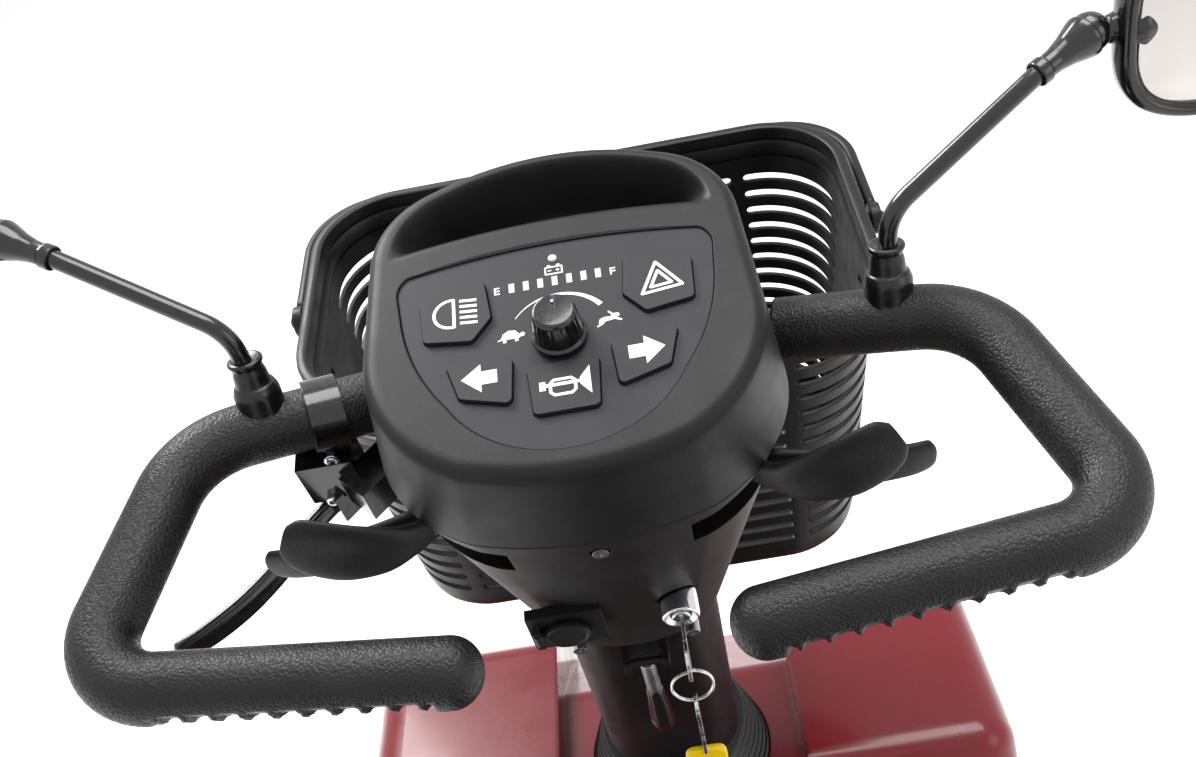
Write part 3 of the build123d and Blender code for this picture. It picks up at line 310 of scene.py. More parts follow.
class Surface:
    """A node-based material: base colour, roughness and bump each built from object-space noise."""

    def __init__(self, name, colour, roughness, metallic=0.0, specular=0.5, coat=0.0, coat_roughness=0.05):
        self.material = bpy.data.materials.new(name)
        self.material.use_nodes = True
        self.tree = self.material.node_tree
        self.shader = self.tree.nodes["Principled BSDF"]
        self.shader.inputs["Metallic"].default_value = metallic
        self.shader.inputs["Specular IOR Level"].default_value = specular
        self.shader.inputs["Coat Weight"].default_value = coat
        self.shader.inputs["Coat Roughness"].default_value = coat_roughness
        self.colour = linear(colour)
        self.shader.inputs["Base Color"].default_value = self.colour
        self.shader.inputs["Roughness"].default_value = roughness
        self.place = self.node("ShaderNodeTexCoord").outputs["Object"]
        self.bumps = []
        self.paint = None

    def node(self, kind, **values):
        made = self.tree.nodes.new(kind)
        for key, value in values.items():
            setattr(made, key, value)
        return made

    def noise(self, scale, detail=3.0, stretch=(1, 1, 1)):
        """Noise whose features are about 1 / scale metres."""
        mapping = self.node("ShaderNodeMapping")
        mapping.inputs["Scale"].default_value = tuple(s * scale for s in stretch)
        self.tree.links.new(self.place, mapping.inputs["Vector"])
        texture = self.node("ShaderNodeTexNoise")
        texture.inputs["Scale"].default_value = 1.0
        texture.inputs["Detail"].default_value = detail
        self.tree.links.new(mapping.outputs["Vector"], texture.inputs["Vector"])
        return texture.outputs["Fac"]

    def cells(self, scale, smooth=0.6):
        """Rounded pebbles about 1 / scale metres across."""
        texture = self.node("ShaderNodeTexVoronoi", feature="SMOOTH_F1")
        texture.inputs["Scale"].default_value = scale
        texture.inputs["Smoothness"].default_value = smooth
        self.tree.links.new(self.place, texture.inputs["Vector"])
        return texture.outputs["Distance"]

    def ramp(self, source, low, high, start, end):
        """Maps a value between two levels."""
        made = self.node("ShaderNodeMapRange")
        made.inputs["From Min"].default_value = low
        made.inputs["From Max"].default_value = high
        made.inputs["To Min"].default_value = start
        made.inputs["To Max"].default_value = end
        self.tree.links.new(source, made.inputs["Value"])
        return made.outputs["Result"]

    def tint(self, source, other, share=1.0):
        """Mixes another colour in where source is high."""
        mix = self.node("ShaderNodeMix", data_type="RGBA")
        if self.paint is None:
            mix.inputs[6].default_value = self.colour
        else:
            self.tree.links.new(self.paint, mix.inputs[6])
        mix.inputs[7].default_value = linear(other)
        factor = self.ramp(source, 0.0, 1.0, 0.0, share)
        self.tree.links.new(factor, mix.inputs[0])
        self.paint = mix.outputs[2]
        self.tree.links.new(self.paint, self.shader.inputs["Base Color"])
        return self

    def mottle(self, scale, detail, low, high, other, share):
        """Patches of another colour where a noise is above low, full strength above high."""
        return self.tint(self.ramp(self.noise(scale, detail), low, high, 0.0, 1.0), other, share)

    def gloss(self, source, low, high):
        """Roughness that follows a noise."""
        self.tree.links.new(self.ramp(source, 0.3, 0.7, low, high), self.shader.inputs["Roughness"])
        return self

    def bump(self, source, depth, strength=1.0):
        """Relief of that depth, in metres."""
        made = self.node("ShaderNodeBump")
        made.inputs["Strength"].default_value = strength
        made.inputs["Distance"].default_value = depth
        self.tree.links.new(source, made.inputs["Height"])
        if self.bumps:
            self.tree.links.new(self.bumps[-1], made.inputs["Normal"])
        self.bumps.append(made.outputs["Normal"])
        self.tree.links.new(self.bumps[-1], self.shader.inputs["Normal"])
        return self

    def soften(self, radius):
        """Edges of the CAD solid catch the light as if rounded by that radius."""
        made = self.node("ShaderNodeBevel")
        made.samples = 4
        made.inputs["Radius"].default_value = radius
        self.bumps.append(made.outputs["Normal"])
        self.tree.links.new(self.bumps[-1], self.shader.inputs["Normal"])
        return self

    def edges(self, other, share=0.6):
        """Wear on the outer edges."""
        point = self.node("ShaderNodeNewGeometry").outputs["Pointiness"]
        mask = self.ramp(point, 0.52, 0.6, 0.0, 1.0)
        broken = self.node("ShaderNodeMath", operation="MULTIPLY")
        self.tree.links.new(mask, broken.inputs[0])
        self.tree.links.new(self.ramp(self.noise(160), 0.35, 0.65, 0.0, 1.0), broken.inputs[1])
        return self.tint(broken.outputs[0], other, share)


def moulded_plastic(name, colour, roughness, grain=900, depth=0.00006, specular=0.25):
    """Matt moulded plastic with a fine spark-eroded grain, faint handling marks and dust."""
    s = Surface(name, colour, roughness, specular=specular)
    s.soften(0.0012)
    s.bump(s.cells(grain), depth)
    s.bump(s.noise(grain * 2.1), depth * 0.6)
    s.gloss(s.noise(38, 5), roughness - 0.06, roughness + 0.07)
    s.mottle(26, 6, 0.45, 0.75, "3c3b3e", 0.10)
    return s.material


def head_plastic():
    return moulded_plastic("head_plastic_finish", "151516", 0.46, 1500, 0.00007)


def cover_plastic():
    return moulded_plastic("cover_plastic_finish", "131314", 0.42, 1300, 0.00005)


def panel_plastic():
    """The face plate: smoother and a little lighter than the housing round it."""
    s = Surface("panel_plastic_finish", "222124", 0.48, specular=0.25)
    s.soften(0.0006)
    s.bump(s.cells(2600), 0.00003)
    s.gloss(s.noise(60, 5), 0.43, 0.53)
    s.mottle(30, 6, 0.4, 0.75, "29282b", 0.35)
    return s.material


def basket_plastic():
    """Injection-moulded polypropylene, slightly glossy on its raised edges."""
    s = Surface("basket_plastic_finish", "0f0f10", 0.38, specular=0.3)
    s.soften(0.0015)
    s.bump(s.cells(1100), 0.00006)
    s.gloss(s.noise(45, 5), 0.30, 0.46)
    s.mottle(18, 6, 0.5, 0.8, "303032", 0.15)
    return s.material


def gloss_black(name="gloss_black_finish", roughness=0.16):
    """Polished black plastic and powder coat, with fine hairline marks and orange peel."""
    s = Surface(name, "0b0b0c", roughness, coat=0.35, coat_roughness=0.08)
    s.soften(0.0008)
    s.bump(s.noise(420, 2), 0.00004)
    s.gloss(s.noise(220, 6, (1, 1, 0.2)), roughness - 0.03, roughness + 0.1)
    s.mottle(90, 6, 0.55, 0.8, "38383a", 0.12)
    return s.material


def boot_rubber():
    s = Surface("boot_rubber_finish", "0c0c0d", 0.27)
    s.bump(s.noise(600, 3), 0.00004)
    s.gloss(s.noise(120, 5), 0.22, 0.36)
    s.mottle(70, 6, 0.5, 0.8, "3c3c3e", 0.15)
    return s.material


def grip_foam():
    """Vinyl-skinned foam: pebbled leather grain, fine wrinkles, slightly worn high spots."""
    s = Surface("grip_foam_finish", "101011", 0.40, specular=0.35)
    s.bump(s.cells(620, 0.35), 0.00045, 0.8)
    s.bump(s.noise(1500, 4), 0.00012, 0.7)
    s.gloss(s.cells(620, 0.35), 0.34, 0.56)
    s.mottle(40, 6, 0.45, 0.75, "262628", 0.3)
    return s.material


def seat_vinyl():
    """Soft seat vinyl with a leather grain and stretched, smoother patches."""
    s = Surface("seat_vinyl_finish", "2b2b2e", 0.5)
    s.bump(s.cells(380, 0.4), 0.0005, 0.7)
    s.bump(s.noise(70, 5), 0.0008, 0.4)
    s.gloss(s.noise(24, 5), 0.42, 0.6)
    s.mottle(14, 6, 0.4, 0.7, "434347", 0.35)
    return s.material


def cowl_paint():
    """Deep red gloss bodywork: pigment under a thin clear coat, orange peel, darker patches."""
    s = Surface("red_paint_finish", "6d0713", 0.34, specular=0.3, coat=0.35, coat_roughness=0.12)
    s.soften(0.006)
    s.bump(s.noise(260, 2), 0.00005)
    s.gloss(s.noise(30, 6), 0.24, 0.36)
    s.mottle(900, 2, 0.5, 0.75, "8a1220", 0.3)
    s.mottle(9, 6, 0.5, 0.8, "52060f", 0.4)
    return s.material


def frame_paint():
    """Semi-gloss black powder coat, chipped to grey along its edges."""
    s = Surface("frame_paint_finish", "1d1d1f", 0.38)
    s.soften(0.0015)
    s.bump(s.noise(900, 3), 0.00012)
    s.gloss(s.noise(60, 5), 0.32, 0.48)
    return s.edges("6d6d6f", 0.5).material


def dark_plastic():
    return moulded_plastic("dark_plastic_finish", "19191b", 0.46, 800, 0.0001)


def deck_rubber():
    """Ribbed black rubber mat, dusty in its low parts."""
    s = Surface("mat_rubber_finish", "1c1c1d", 0.72)
    wave = s.node("ShaderNodeTexWave", bands_direction="X")
    wave.inputs["Scale"].default_value = 26.0
    wave.inputs["Distortion"].default_value = 0.0
    s.tree.links.new(s.place, wave.inputs["Vector"])
    s.bump(s.ramp(wave.outputs["Fac"], 0.35, 0.65, 0.0, 1.0), 0.0012)
    s.bump(s.noise(700, 4), 0.0001)
    s.mottle(12, 7, 0.45, 0.75, "4b4842", 0.3)
    return s.material


def tyre_rubber():
    """Tyre compound with moulding grain and road dust."""
    s = Surface("tyre_finish", "202021", 0.68)
    s.bump(s.noise(500, 5), 0.0002)
    s.gloss(s.noise(40, 5), 0.6, 0.8)
    s.mottle(22, 7, 0.45, 0.7, "55524d", 0.3)
    return s.material


def rim_alloy():
    """Silver painted cast alloy, finely mottled."""
    s = Surface("rim_alloy_finish", "b4b6b9", 0.32, metallic=0.85)
    s.soften(0.002)
    s.bump(s.noise(700, 4), 0.00008)
    s.gloss(s.noise(60, 5), 0.26, 0.42)
    s.mottle(35, 6, 0.5, 0.8, "8c8d90", 0.4)
    return s.material


def bare_metal(name, colour, roughness, brush=(1, 1, 1), scale=700, edge=0.0006):
    """Plated or polished metal with fine directional scratches and dull patches."""
    s = Surface(name, colour, roughness, metallic=1.0)
    s.soften(edge)
    s.bump(s.noise(scale, 4, brush), 0.00003)
    s.gloss(s.noise(scale / 3, 5, brush), max(0.02, roughness - 0.05), roughness + 0.12)
    s.mottle(140, 6, 0.5, 0.8, "77777a", 0.25)
    return s.material


def lock_chrome():
    return bare_metal("lock_chrome_finish", "dadbde", 0.1)


def key_steel():
    return bare_metal("key_steel_finish", "c9cacc", 0.2, (1, 0.2, 1), 1400)


def screw_steel():
    return bare_metal("screw_steel_finish", "a9aaac", 0.28)


def zinc_steel():
    return bare_metal("zinc_steel_finish", "a3a5a8", 0.34, (1, 1, 1), 300)


def cast_aluminium():
    """Sand-cast drive housing: coarse skin, oil-dulled."""
    s = Surface("cast_aluminium_finish", "9a9b9d", 0.5, metallic=0.8)
    s.soften(0.002)
    s.bump(s.noise(420, 5), 0.00035)
    s.gloss(s.noise(40, 5), 0.42, 0.62)
    s.mottle(30, 6, 0.45, 0.7, "5f5f60", 0.4)
    return s.material


def battery_case():
    return moulded_plastic("battery_case_finish", "34363a", 0.55, 700, 0.0001)


def controller_case():
    """Anodised black controller housing."""
    s = Surface("controller_case_finish", "2b2c30", 0.42, metallic=0.6)
    s.soften(0.001)
    s.bump(s.noise(1200, 3), 0.00005)
    s.gloss(s.noise(80, 5), 0.36, 0.5)
    return s.edges("8b8c90", 0.4).material


def lamp_lens(name, colour):
    """Moulded lens with an optic pattern under a clear face."""
    s = Surface(name, colour, 0.12, coat=1.0, coat_roughness=0.03)
    wave = s.node("ShaderNodeTexWave", bands_direction="Z")
    wave.inputs["Scale"].default_value = 70.0
    s.tree.links.new(s.place, wave.inputs["Vector"])
    s.bump(wave.outputs["Fac"], 0.0006)
    s.gloss(s.noise(200, 4), 0.08, 0.2)
    return s.material


def mirror_glass():
    """Silvered glass, slightly tinted, with faint smears."""
    s = Surface("mirror_glass_finish", "cfcac6", 0.03, metallic=1.0)
    s.gloss(s.noise(40, 6), 0.02, 0.07)
    s.bump(s.noise(14, 1), 0.00002)
    return s.material


def board_green():
    s = Surface("board_green_finish", "1e5a34", 0.4)
    s.bump(s.cells(500), 0.0001)
    s.mottle(300, 3, 0.5, 0.55, "b08a3c", 0.5)
    return s.material


def print_ink(name, colour):
    """Printed marking: flat ink with a slightly uneven edge of gloss."""
    s = Surface(name, colour, 0.5)
    s.bump(s.noise(2500, 2), 0.00001)
    s.gloss(s.noise(300, 4), 0.42, 0.6)
    return s.material


def yellow_plastic():
    """Moulded key head."""
    s = Surface("key_head_finish", "e8c400", 0.34)
    s.soften(0.001)
    s.bump(s.noise(900, 3), 0.00005)
    s.gloss(s.noise(90, 5), 0.28, 0.42)
    s.mottle(60, 6, 0.5, 0.8, "b89600", 0.35)
    return s.material


def cable_sheath():
    s = Surface("cable_sheath_finish", "1a1a1b", 0.35)
    s.bump(s.noise(1500, 2), 0.00005)
    s.gloss(s.noise(100, 4), 0.3, 0.45)
    return s.material


def floor_paper():
    """Plain pale studio sweep."""
    s = Surface("studio_floor", "fbfbfb", 0.9, specular=0.1)
    s.bump(s.noise(30, 3), 0.0002)
    return s.material


# ------------------------------------------------------------------------------------
# Stage: floor, light and camera
# ------------------------------------------------------------------------------------
def floor():
    """A pale sweep far wider than the scooter."""
    size, count = 14.0, 28
    verts = [
        (size * (i / count - 0.5) * 2, size * (j / count - 0.5) * 2, 0.0)
        for j in range(count + 1) for i in range(count + 1)
    ]
    row = count + 1
    faces = [
        (j * row + i, j * row + i + 1, (j + 1) * row + i + 1, (j + 1) * row + i)
        for j in range(count) for i in range(count)
    ]
    mesh = bpy.data.meshes.new("studio_floor")
    mesh.from_pydata(verts, [], faces)
    piece = bpy.data.objects.new("studio_floor", mesh)
    bpy.context.scene.collection.objects.link(piece)
    mesh.materials.append(floor_paper())


def softbox(name, place, target, width, height, power):
    """A rectangular studio light aimed at a point."""
    light = bpy.data.lights.new(name, "AREA")
    light.shape = "RECTANGLE"
    light.size = width
    light.size_y = height
    light.energy = power
    lamp = bpy.data.objects.new(name, light)
    lamp.location = place
    lamp.rotation_mode = "QUATERNION"
    lamp.rotation_quaternion = (Vector(target) - Vector(place)).to_track_quat("-Z", "Y")
    bpy.context.scene.collection.objects.link(lamp)


def lights():
    world = bpy.data.worlds.new("studio")
    world.use_nodes = True
    world.node_tree.nodes["Background"].inputs["Color"].default_value = (1.0, 1.0, 1.0, 1.0)
    world.node_tree.nodes["Background"].inputs["Strength"].default_value = 1.0
    bpy.context.scene.world = world
    bpy.context.scene.view_settings.view_transform = "Standard"
    softbox("key_softbox", (-1.3, 1.6, 2.6), (0, 0.2, 0.9), 1.4, 0.9, 85)
    softbox("top_softbox", (0.5, 0.5, 3.1), (0, 0.2, 0.8), 1.4, 1.4, 45)
    softbox("fill_softbox", (2.6, -1.4, 1.9), (0, 0, 0.6), 1.6, 1.6, 12)


def camera():
    """The photograph's view, over the rider's shoulder with the tiller straight ahead."""
    data = bpy.data.cameras.new("camera")
    data.lens = 37.6
    data.sensor_width = 36.0
    data.clip_start = 0.02
    data.clip_end = 60.0
    place = Vector((0.05798, -0.37633, 1.30379))
    right = Vector((0.98294, -0.04532, -0.17824))
    forward = Vector((-0.06459, 0.82236, -0.56530)).normalized()
    right = (right - forward * right.dot(forward)).normalized()
    up = right.cross(forward)
    view = bpy.data.objects.new("camera", data)
    view.matrix_world = Matrix((
        (right.x, up.x, -forward.x, place.x),
        (right.y, up.y, -forward.y, place.y),
        (right.z, up.z, -forward.z, place.z),
        (0, 0, 0, 1),
    ))
    bpy.context.scene.collection.objects.link(view)
    bpy.context.scene.camera = view


# ------------------------------------------------------------------------------------
# CAD nodes that keep their shape
# ------------------------------------------------------------------------------------
def finish_nodes():
    """Procedural finishes on the CAD nodes that stay as they are."""
    painted, plastic, zinc = frame_paint(), dark_plastic(), zinc_steel()
    black, cover = gloss_black(), cover_plastic()
    finishes = {
        "main_frame": painted, "steering_stem": painted, "steering_knuckle_left": painted,
        "steering_knuckle_right": painted, "tie_rod": zinc, "seat_base": painted, "tiller_tube": painted,
        "handlebar_tube": painted, "transaxle": cast_aluminium(), "battery_packs": battery_case(),
        "controller": controller_case(), "floor_deck": plastic, "floor_mat": deck_rubber(),
        "front_cowl": cowl_paint(), "bumpers": plastic, "column_cover": cover, "circuit_board": board_green(),
        "head_screws": screw_steel(), "ignition_lock": lock_chrome(), "charger_socket": cover,
        "console_panel": panel_plastic(),
        "head_lower_shell": head_plastic(), "head_upper_shell": head_plastic(),
        "basket": basket_plastic(), "basket_handle": basket_plastic(), "speed_paddles": cover,
        "brake_bracket": black, "brake_lever": black, "brake_cable": cable_sheath(), "key": key_steel(),
        "key_ring_set": key_steel(), "mirror_stems": black, "tilt_lever": black, "charger_cap": cover,
        "speed_knob": black, "anti_tip_wheels": tyre_rubber(), "rear_body_cover": cowl_paint(),
        "lamps": lamp_lens("lamp_lens_finish", "e9e6e2"),
    }
    for name in ("front_rim_left", "front_rim_right", "rear_rim_left", "rear_rim_right"):
        finishes[name] = rim_alloy()
    for name in ("front_tyre_left", "front_tyre_right", "rear_tyre_left", "rear_tyre_right"):
        finishes[name] = tyre_rubber()
    for name in ("headlight_button", "hazard_button", "left_arrow_button", "right_arrow_button", "horn_button"):
        finishes[name] = panel_plastic()
    for name in ("seat_cushion", "seat_backrest", "armrest_left", "armrest_right"):
        finishes[name] = seat_vinyl()
    for name in ("foam_grips", "mirror_boots", "bellows", "mirror_head_left", "mirror_head_right"):
        finishes[name] = boot_rubber()
    for name, finish in finishes.items():
        nodes[name].data.materials.clear()
        nodes[name].data.materials.append(finish)


# ------------------------------------------------------------------------------------
# Grips, boots, stems and mirrors
# ------------------------------------------------------------------------------------
FOAM_R = 0.0184                 # radius of the foam grip, in metres
BOOT_U = 180                    # the boots stand on the crossbar this far out, in millimetres
BALL_U, BALL_V, BALL_W = 297, 92, 56
BEND_U, BEND_V, BEND_W = 266, 75, 50


def grip(side, hand):
    """Foam grip: a bent tube with a round end and a ribbed finger flat under its last run."""
    points = [at(side * 119, 35.1, -71), at(side * 223, 5, -48), at(side * 265, -138, -41.5),
              at(side * 78, -151, -59)]
    route = rounded(points, [0.058, 0.032], 0.0016)
    flat_normal = turn(0, -0.93, -0.36).normalized()
    rib_pitch, flat_start, flat_end = 0.0145, 0.084, 0.226
    rib_half, fade, flat_level, rib_height = 0.0032, 0.004, 0.0141, 0.0034
    sides, cap_steps = 72, 12
    rings = []
    for point, _, across, normal in frames(route, AXIS_W):
        u = abs(point.x)
        on_run = (point - CONSOLE).dot(AXIS_V) < -0.128
        share = smooth_step((u - flat_start) / fade) * smooth_step((flat_end - u) / fade) if on_run else 0.0
        rib = bump_at((u - flat_start) % rib_pitch, rib_pitch / 2, rib_half)
        ring = []
        for k in range(sides):
            angle = 2 * math.pi * k / sides
            spoke = across * math.cos(angle) + normal * math.sin(angle)
            facing = spoke.dot(flat_normal)
            radius = FOAM_R
            if share and facing > 0.6:
                level = flat_level + rib_height * rib * smooth_step((facing - 0.78) / 0.05)
                radius = FOAM_R + (min(FOAM_R, level / facing) - FOAM_R) * share
            ring.append(point + spoke * radius)
        rings.append(ring)
    end, direction = route[-1], (route[-1] - route[-2]).normalized()
    base = rings[-1]
    for k in range(1, cap_steps):
        a = math.pi / 2 * k / cap_steps
        rings.append([end + (p - end) * math.cos(a) + direction * FOAM_R * 0.92 * math.sin(a) for p in base])
    make("foam_grip_" + hand, *skin(rings), "tiller", grip_finish, "foam_grips", "grip_foam")


def boot(side, hand):
    """Rubber boot: a cup over the bar, round shoulders, and a tapered neck with a flared lip."""
    base, top = at(side * BOOT_U, 19, -56), at(side * BOOT_U, 33, -19)
    axis = (top - base).normalized()
    profile = soft_profile([
        (0.5, 8), (14.4, 8), (14.6, 10), (13.4, 12.5), (13.4, 24), (11.6, 28.5), (10.2, 29.5), (9.6, 36),
        (8.4, 41), (10.2, 43), (10.2, 45), (8.2, 46), (5.4, 45), (0.5, 45),
    ], 1.6)
    make("mirror_boot_" + hand, *skin(lathe(profile, base, axis)), "tiller", boot_finish, "mirror_boots",
         "boot_rubber")


def stem(side, hand):
    """Mirror stem: a bent rod with a collar, and a cone that holds the ball."""
    points = [at(side * BOOT_U, 27, -34.5), at(side * 181, 38, 6), at(side * BEND_U, BEND_V, BEND_W),
              at(side * 290, 91, 57)]
    rings = tube(rounded(points, [0.026, 0.06]), 0.00525, 32)
    make("mirror_stem_" + hand, *skin(rings), "tiller", black_finish, "mirror_stems", "gloss_black")
    ball = at(side * BALL_U, BALL_V, BALL_W)
    outward = (ball - at(side * BEND_U, BEND_V, BEND_W)).normalized()
    cone = [
        (0.3, -37), (7.2, -37), (7.4, -31), (6.4, -30), (6.6, -24), (8.2, -16), (11.2, -7), (12, -4),
        (11.6, -1.5), (9, -2), (0.3, -8),
    ]
    turned("mirror_cone_" + hand, cone, 1.2, ball, outward, 48, "tiller", black_finish, slot="gloss_black")


def mirror_head(side, hand):
    """Mirror: a domed shell with a thick rounded rim, its glass set in, and the ball it turns on."""
    low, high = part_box("mirror_head_" + hand)
    ball = at(side * BALL_U, BALL_V, BALL_W)
    inner = ball.x + side * 0.012
    outer = high.x if side > 0 else low.x
    centre = Vector(((inner + outer) / 2, ball.y, ball.z - 0.001))
    half_x, half_z = abs(outer - inner) / 2, 0.053

    def ring(scale, y, power=3.4):
        out = []
        for k in range(96):
            a = 2 * math.pi * k / 96
            c, s = math.cos(a), math.sin(a)
            x = flattened(c, 2 / power) * half_x * scale
            z = flattened(s, 2 / power) * half_z * scale
            out.append(Vector((centre.x + x, centre.y + y, centre.z + z)))
        return out

    rim = [(0.0, -0.0095), (0.80, -0.0095), (0.875, -0.0095), (0.89, -0.0125), (0.915, -0.0140),
           (0.955, -0.0138), (0.985, -0.0118), (0.998, -0.0080), (1.0, -0.002), (0.985, 0.0035),
           (0.93, 0.0085), (0.82, 0.0122), (0.62, 0.0148), (0.35, 0.0158), (0.0, 0.016)]
    make("mirror_shell_" + hand, *skin([ring(max(s, 0.01), y) for s, y in rim]), "mirror_" + hand,
         black_finish, "mirror_head_" + hand, "gloss_black")
    crown = [(0.0, -0.0106), (0.5, -0.0105), (0.86, -0.0102), (0.872, -0.0098), (0.872, -0.009), (0.0, -0.009)]
    make("mirror_glass_" + hand, *skin([ring(max(s, 0.01), y) for s, y in crown]), "mirror_" + hand,
         glass_finish, slot="gloss_black")
    profile = [(0.011 * math.sin(math.pi * k / 24), -0.011 * math.cos(math.pi * k / 24)) for k in range(1, 20)]
    profile += soft_profile([(7.2, 9), (8.2, 12), (11, 18), (13, 26), (9, 34), (1, 36)], 1.5)
    make("mirror_ball_" + hand, *skin(lathe(profile, ball, (side, 0, 0), 40)), "mirror_" + hand,
         black_finish, slot="gloss_black")


# ------------------------------------------------------------------------------------
# Console head
# ------------------------------------------------------------------------------------
POINTS_ROUND = 288
RIM_LOOP = even(
    arc3((68, 132), (0, 147), (-68, 132)) + arc3((-68, 132), (-94, 112), (-105, 80)) + [(-105, 80)]
    + arc3((-108, 10), (-95, -40), (-60, -74)) + arc3((-60, -74), (0, -85), (60, -74))
    + arc3((60, -74), (95, -40), (108, 10)) + [(108, 10)] + arc3((105, 80), (94, 112), (68, 132)),
    POINTS_ROUND)
PANEL_LOOP = even(
    arc3((82, 60), (0, 68), (-82, 60)) + arc3((-82, 60), (-87, 54), (-88, 46)) + [(-88, 46)]
    + arc3((-86, 28), (-78, -5), (-62, -34)) + arc3((-62, -34), (0, -71), (62, -34))
    + arc3((62, -34), (78, -5), (86, 28)) + [(86, 28)] + arc3((88, 46), (87, 54), (82, 60)),
    720)


# Half width, rear edge and front edge of the head at its top, its seam and its foot
HEAD_TOP, HEAD_SEAM, HEAD_FOOT = (108, -85, 147), (117, -88, 130), (62, -53, 66)
SEAM_W, FOOT_W = -66, -272
PANEL_MIDDLE_V = 8


def head_loop(w):
    """The housing's outline at one height."""
    if w > SEAM_W:
        above, below, t = HEAD_TOP, HEAD_SEAM, w / SEAM_W
    else:
        above, below, t = HEAD_SEAM, HEAD_FOOT, (w - SEAM_W) / (FOOT_W - SEAM_W)
    half, rear, front = (a + (b - a) * t for a, b in zip(above, below))
    top_half, top_rear, top_front = HEAD_TOP
    wider, longer = half / top_half, (front - rear) / (top_front - top_rear)
    return [(u * wider, rear + (v - top_rear) * longer) for u, v in RIM_LOOP]


def panel_edge():
    """For each point of the rim, the point of the panel's outline in the same direction."""
    out = []
    for u, v in RIM_LOOP:
        heading = math.atan2(v - PANEL_MIDDLE_V, u)

        def turned_away(p):
            turn_by = math.atan2(p[1] - PANEL_MIDDLE_V, p[0]) - heading
            return abs((turn_by + math.pi) % (2 * math.pi) - math.pi)

        out.append(min(PANEL_LOOP, key=turned_away))
    return out


def scoop_depth(u, v, from_rim):
    """Depth of the storage scoop: steep at the front, rising gently to the ridge at the rear."""
    behind = v - (82 - 9 * (u / 95) ** 2)
    return 38 * smooth_step((from_rim - 12) / 13) * smooth_step((behind - 1) / 34)


def head_upper():
    """Upper housing: rounded rim, storage scoop, and the well that the face plate sits in."""
    rings = []
    for w in (-66.0, -65.0, -64.0, -50, -36, -24, -14):
        loop = head_loop(w)
        rings.append([at(u, v, w) for u, v in (inset(loop, 1.2) if w == -66.0 else loop)])
    radius = 10.0
    for k in range(1, 10):
        a = math.pi / 2 * k / 10
        loop = inset(head_loop(-radius), radius * (1 - math.cos(a)) * 0.9)
        rings.append([at(u, v, -radius + radius * math.sin(a)) for u, v in loop])
    outer = inset(head_loop(0), radius * 0.9)
    edge = panel_edge()
    steps = 72
    for k in range(steps + 1):
        t = k / steps
        ring = []
        for (u0, v0), (u1, v1) in zip(outer, edge):
            u, v = u0 + (u1 - u0) * t, v0 + (v1 - v0) * t
            from_rim = 9 + math.hypot(u - u0, v - v0)
            lip = 0.8 * smooth_step(1 - abs(t - 0.985) / 0.015) if k < steps else 0
            ring.append(at(u, v, -scoop_depth(u, v, from_rim) - lip))
        rings.append(ring)
    for depth in (1.6, 4.0, 11.5):
        rings.append([at(u, v, -depth) for u, v in edge])
    piece = make("head_upper_housing", *skin(rings), "tiller", head_finish, "head_upper_shell", "head_plastic")
    crease(piece, 50)


def head_lower():
    """Lower housing, narrowing to the column: slots for the paddle arms, wells and screw holes cut in."""
    levels = [-66.4, -67.4, -69, -80, -95, -110, -130, -150, -170, -190, -210, -230, -250, -262, -268, -271]
    rings = []
    for w in levels:
        loop = head_loop(w)
        drawn_in = {-66.4: 1.6, -67.4: 0.4, -268: 1.0, -271: 4.0}.get(w, 0)
        rings.append([at(u, v, w) for u, v in (inset(loop, drawn_in) if drawn_in else loop)])
    piece = make("head_lower_housing", *skin(rings), "tiller", head_finish, "head_lower_shell", "head_plastic")
    for side in (-1, 1):
        leaf = even(arc3((-101, -92), (-40, -108), (34, -70)) + arc3((34, -70), (-48, -67), (-101, -92)), 48)
        solid = [[at(side * u, v, w) for v, w in leaf] for u in (50, 150)]
        cut(piece, *skin(solid))
    for u, w, radius in ((CHARGER_U, CHARGER_W, 19.5), (LOCK_U, LOCK_W, 14.5)):
        well = [(radius * MM, -0.02), (radius * 0.92 * MM, 0.016)]
        cut(piece, *skin(lathe(well, at(u, FRONT_V, w), turn(0, 1, 0), 48)))
    for u, v, w in ((0, -86, -82), (-38, -57, -256), (38, -57, -256)):
        cut(piece, *skin(lathe([(0.0062, -0.01), (0.0062, 0.004)], at(u, v, w), turn(0, 1, 0), 32)))
    shade(piece)
    crease(piece, 35)


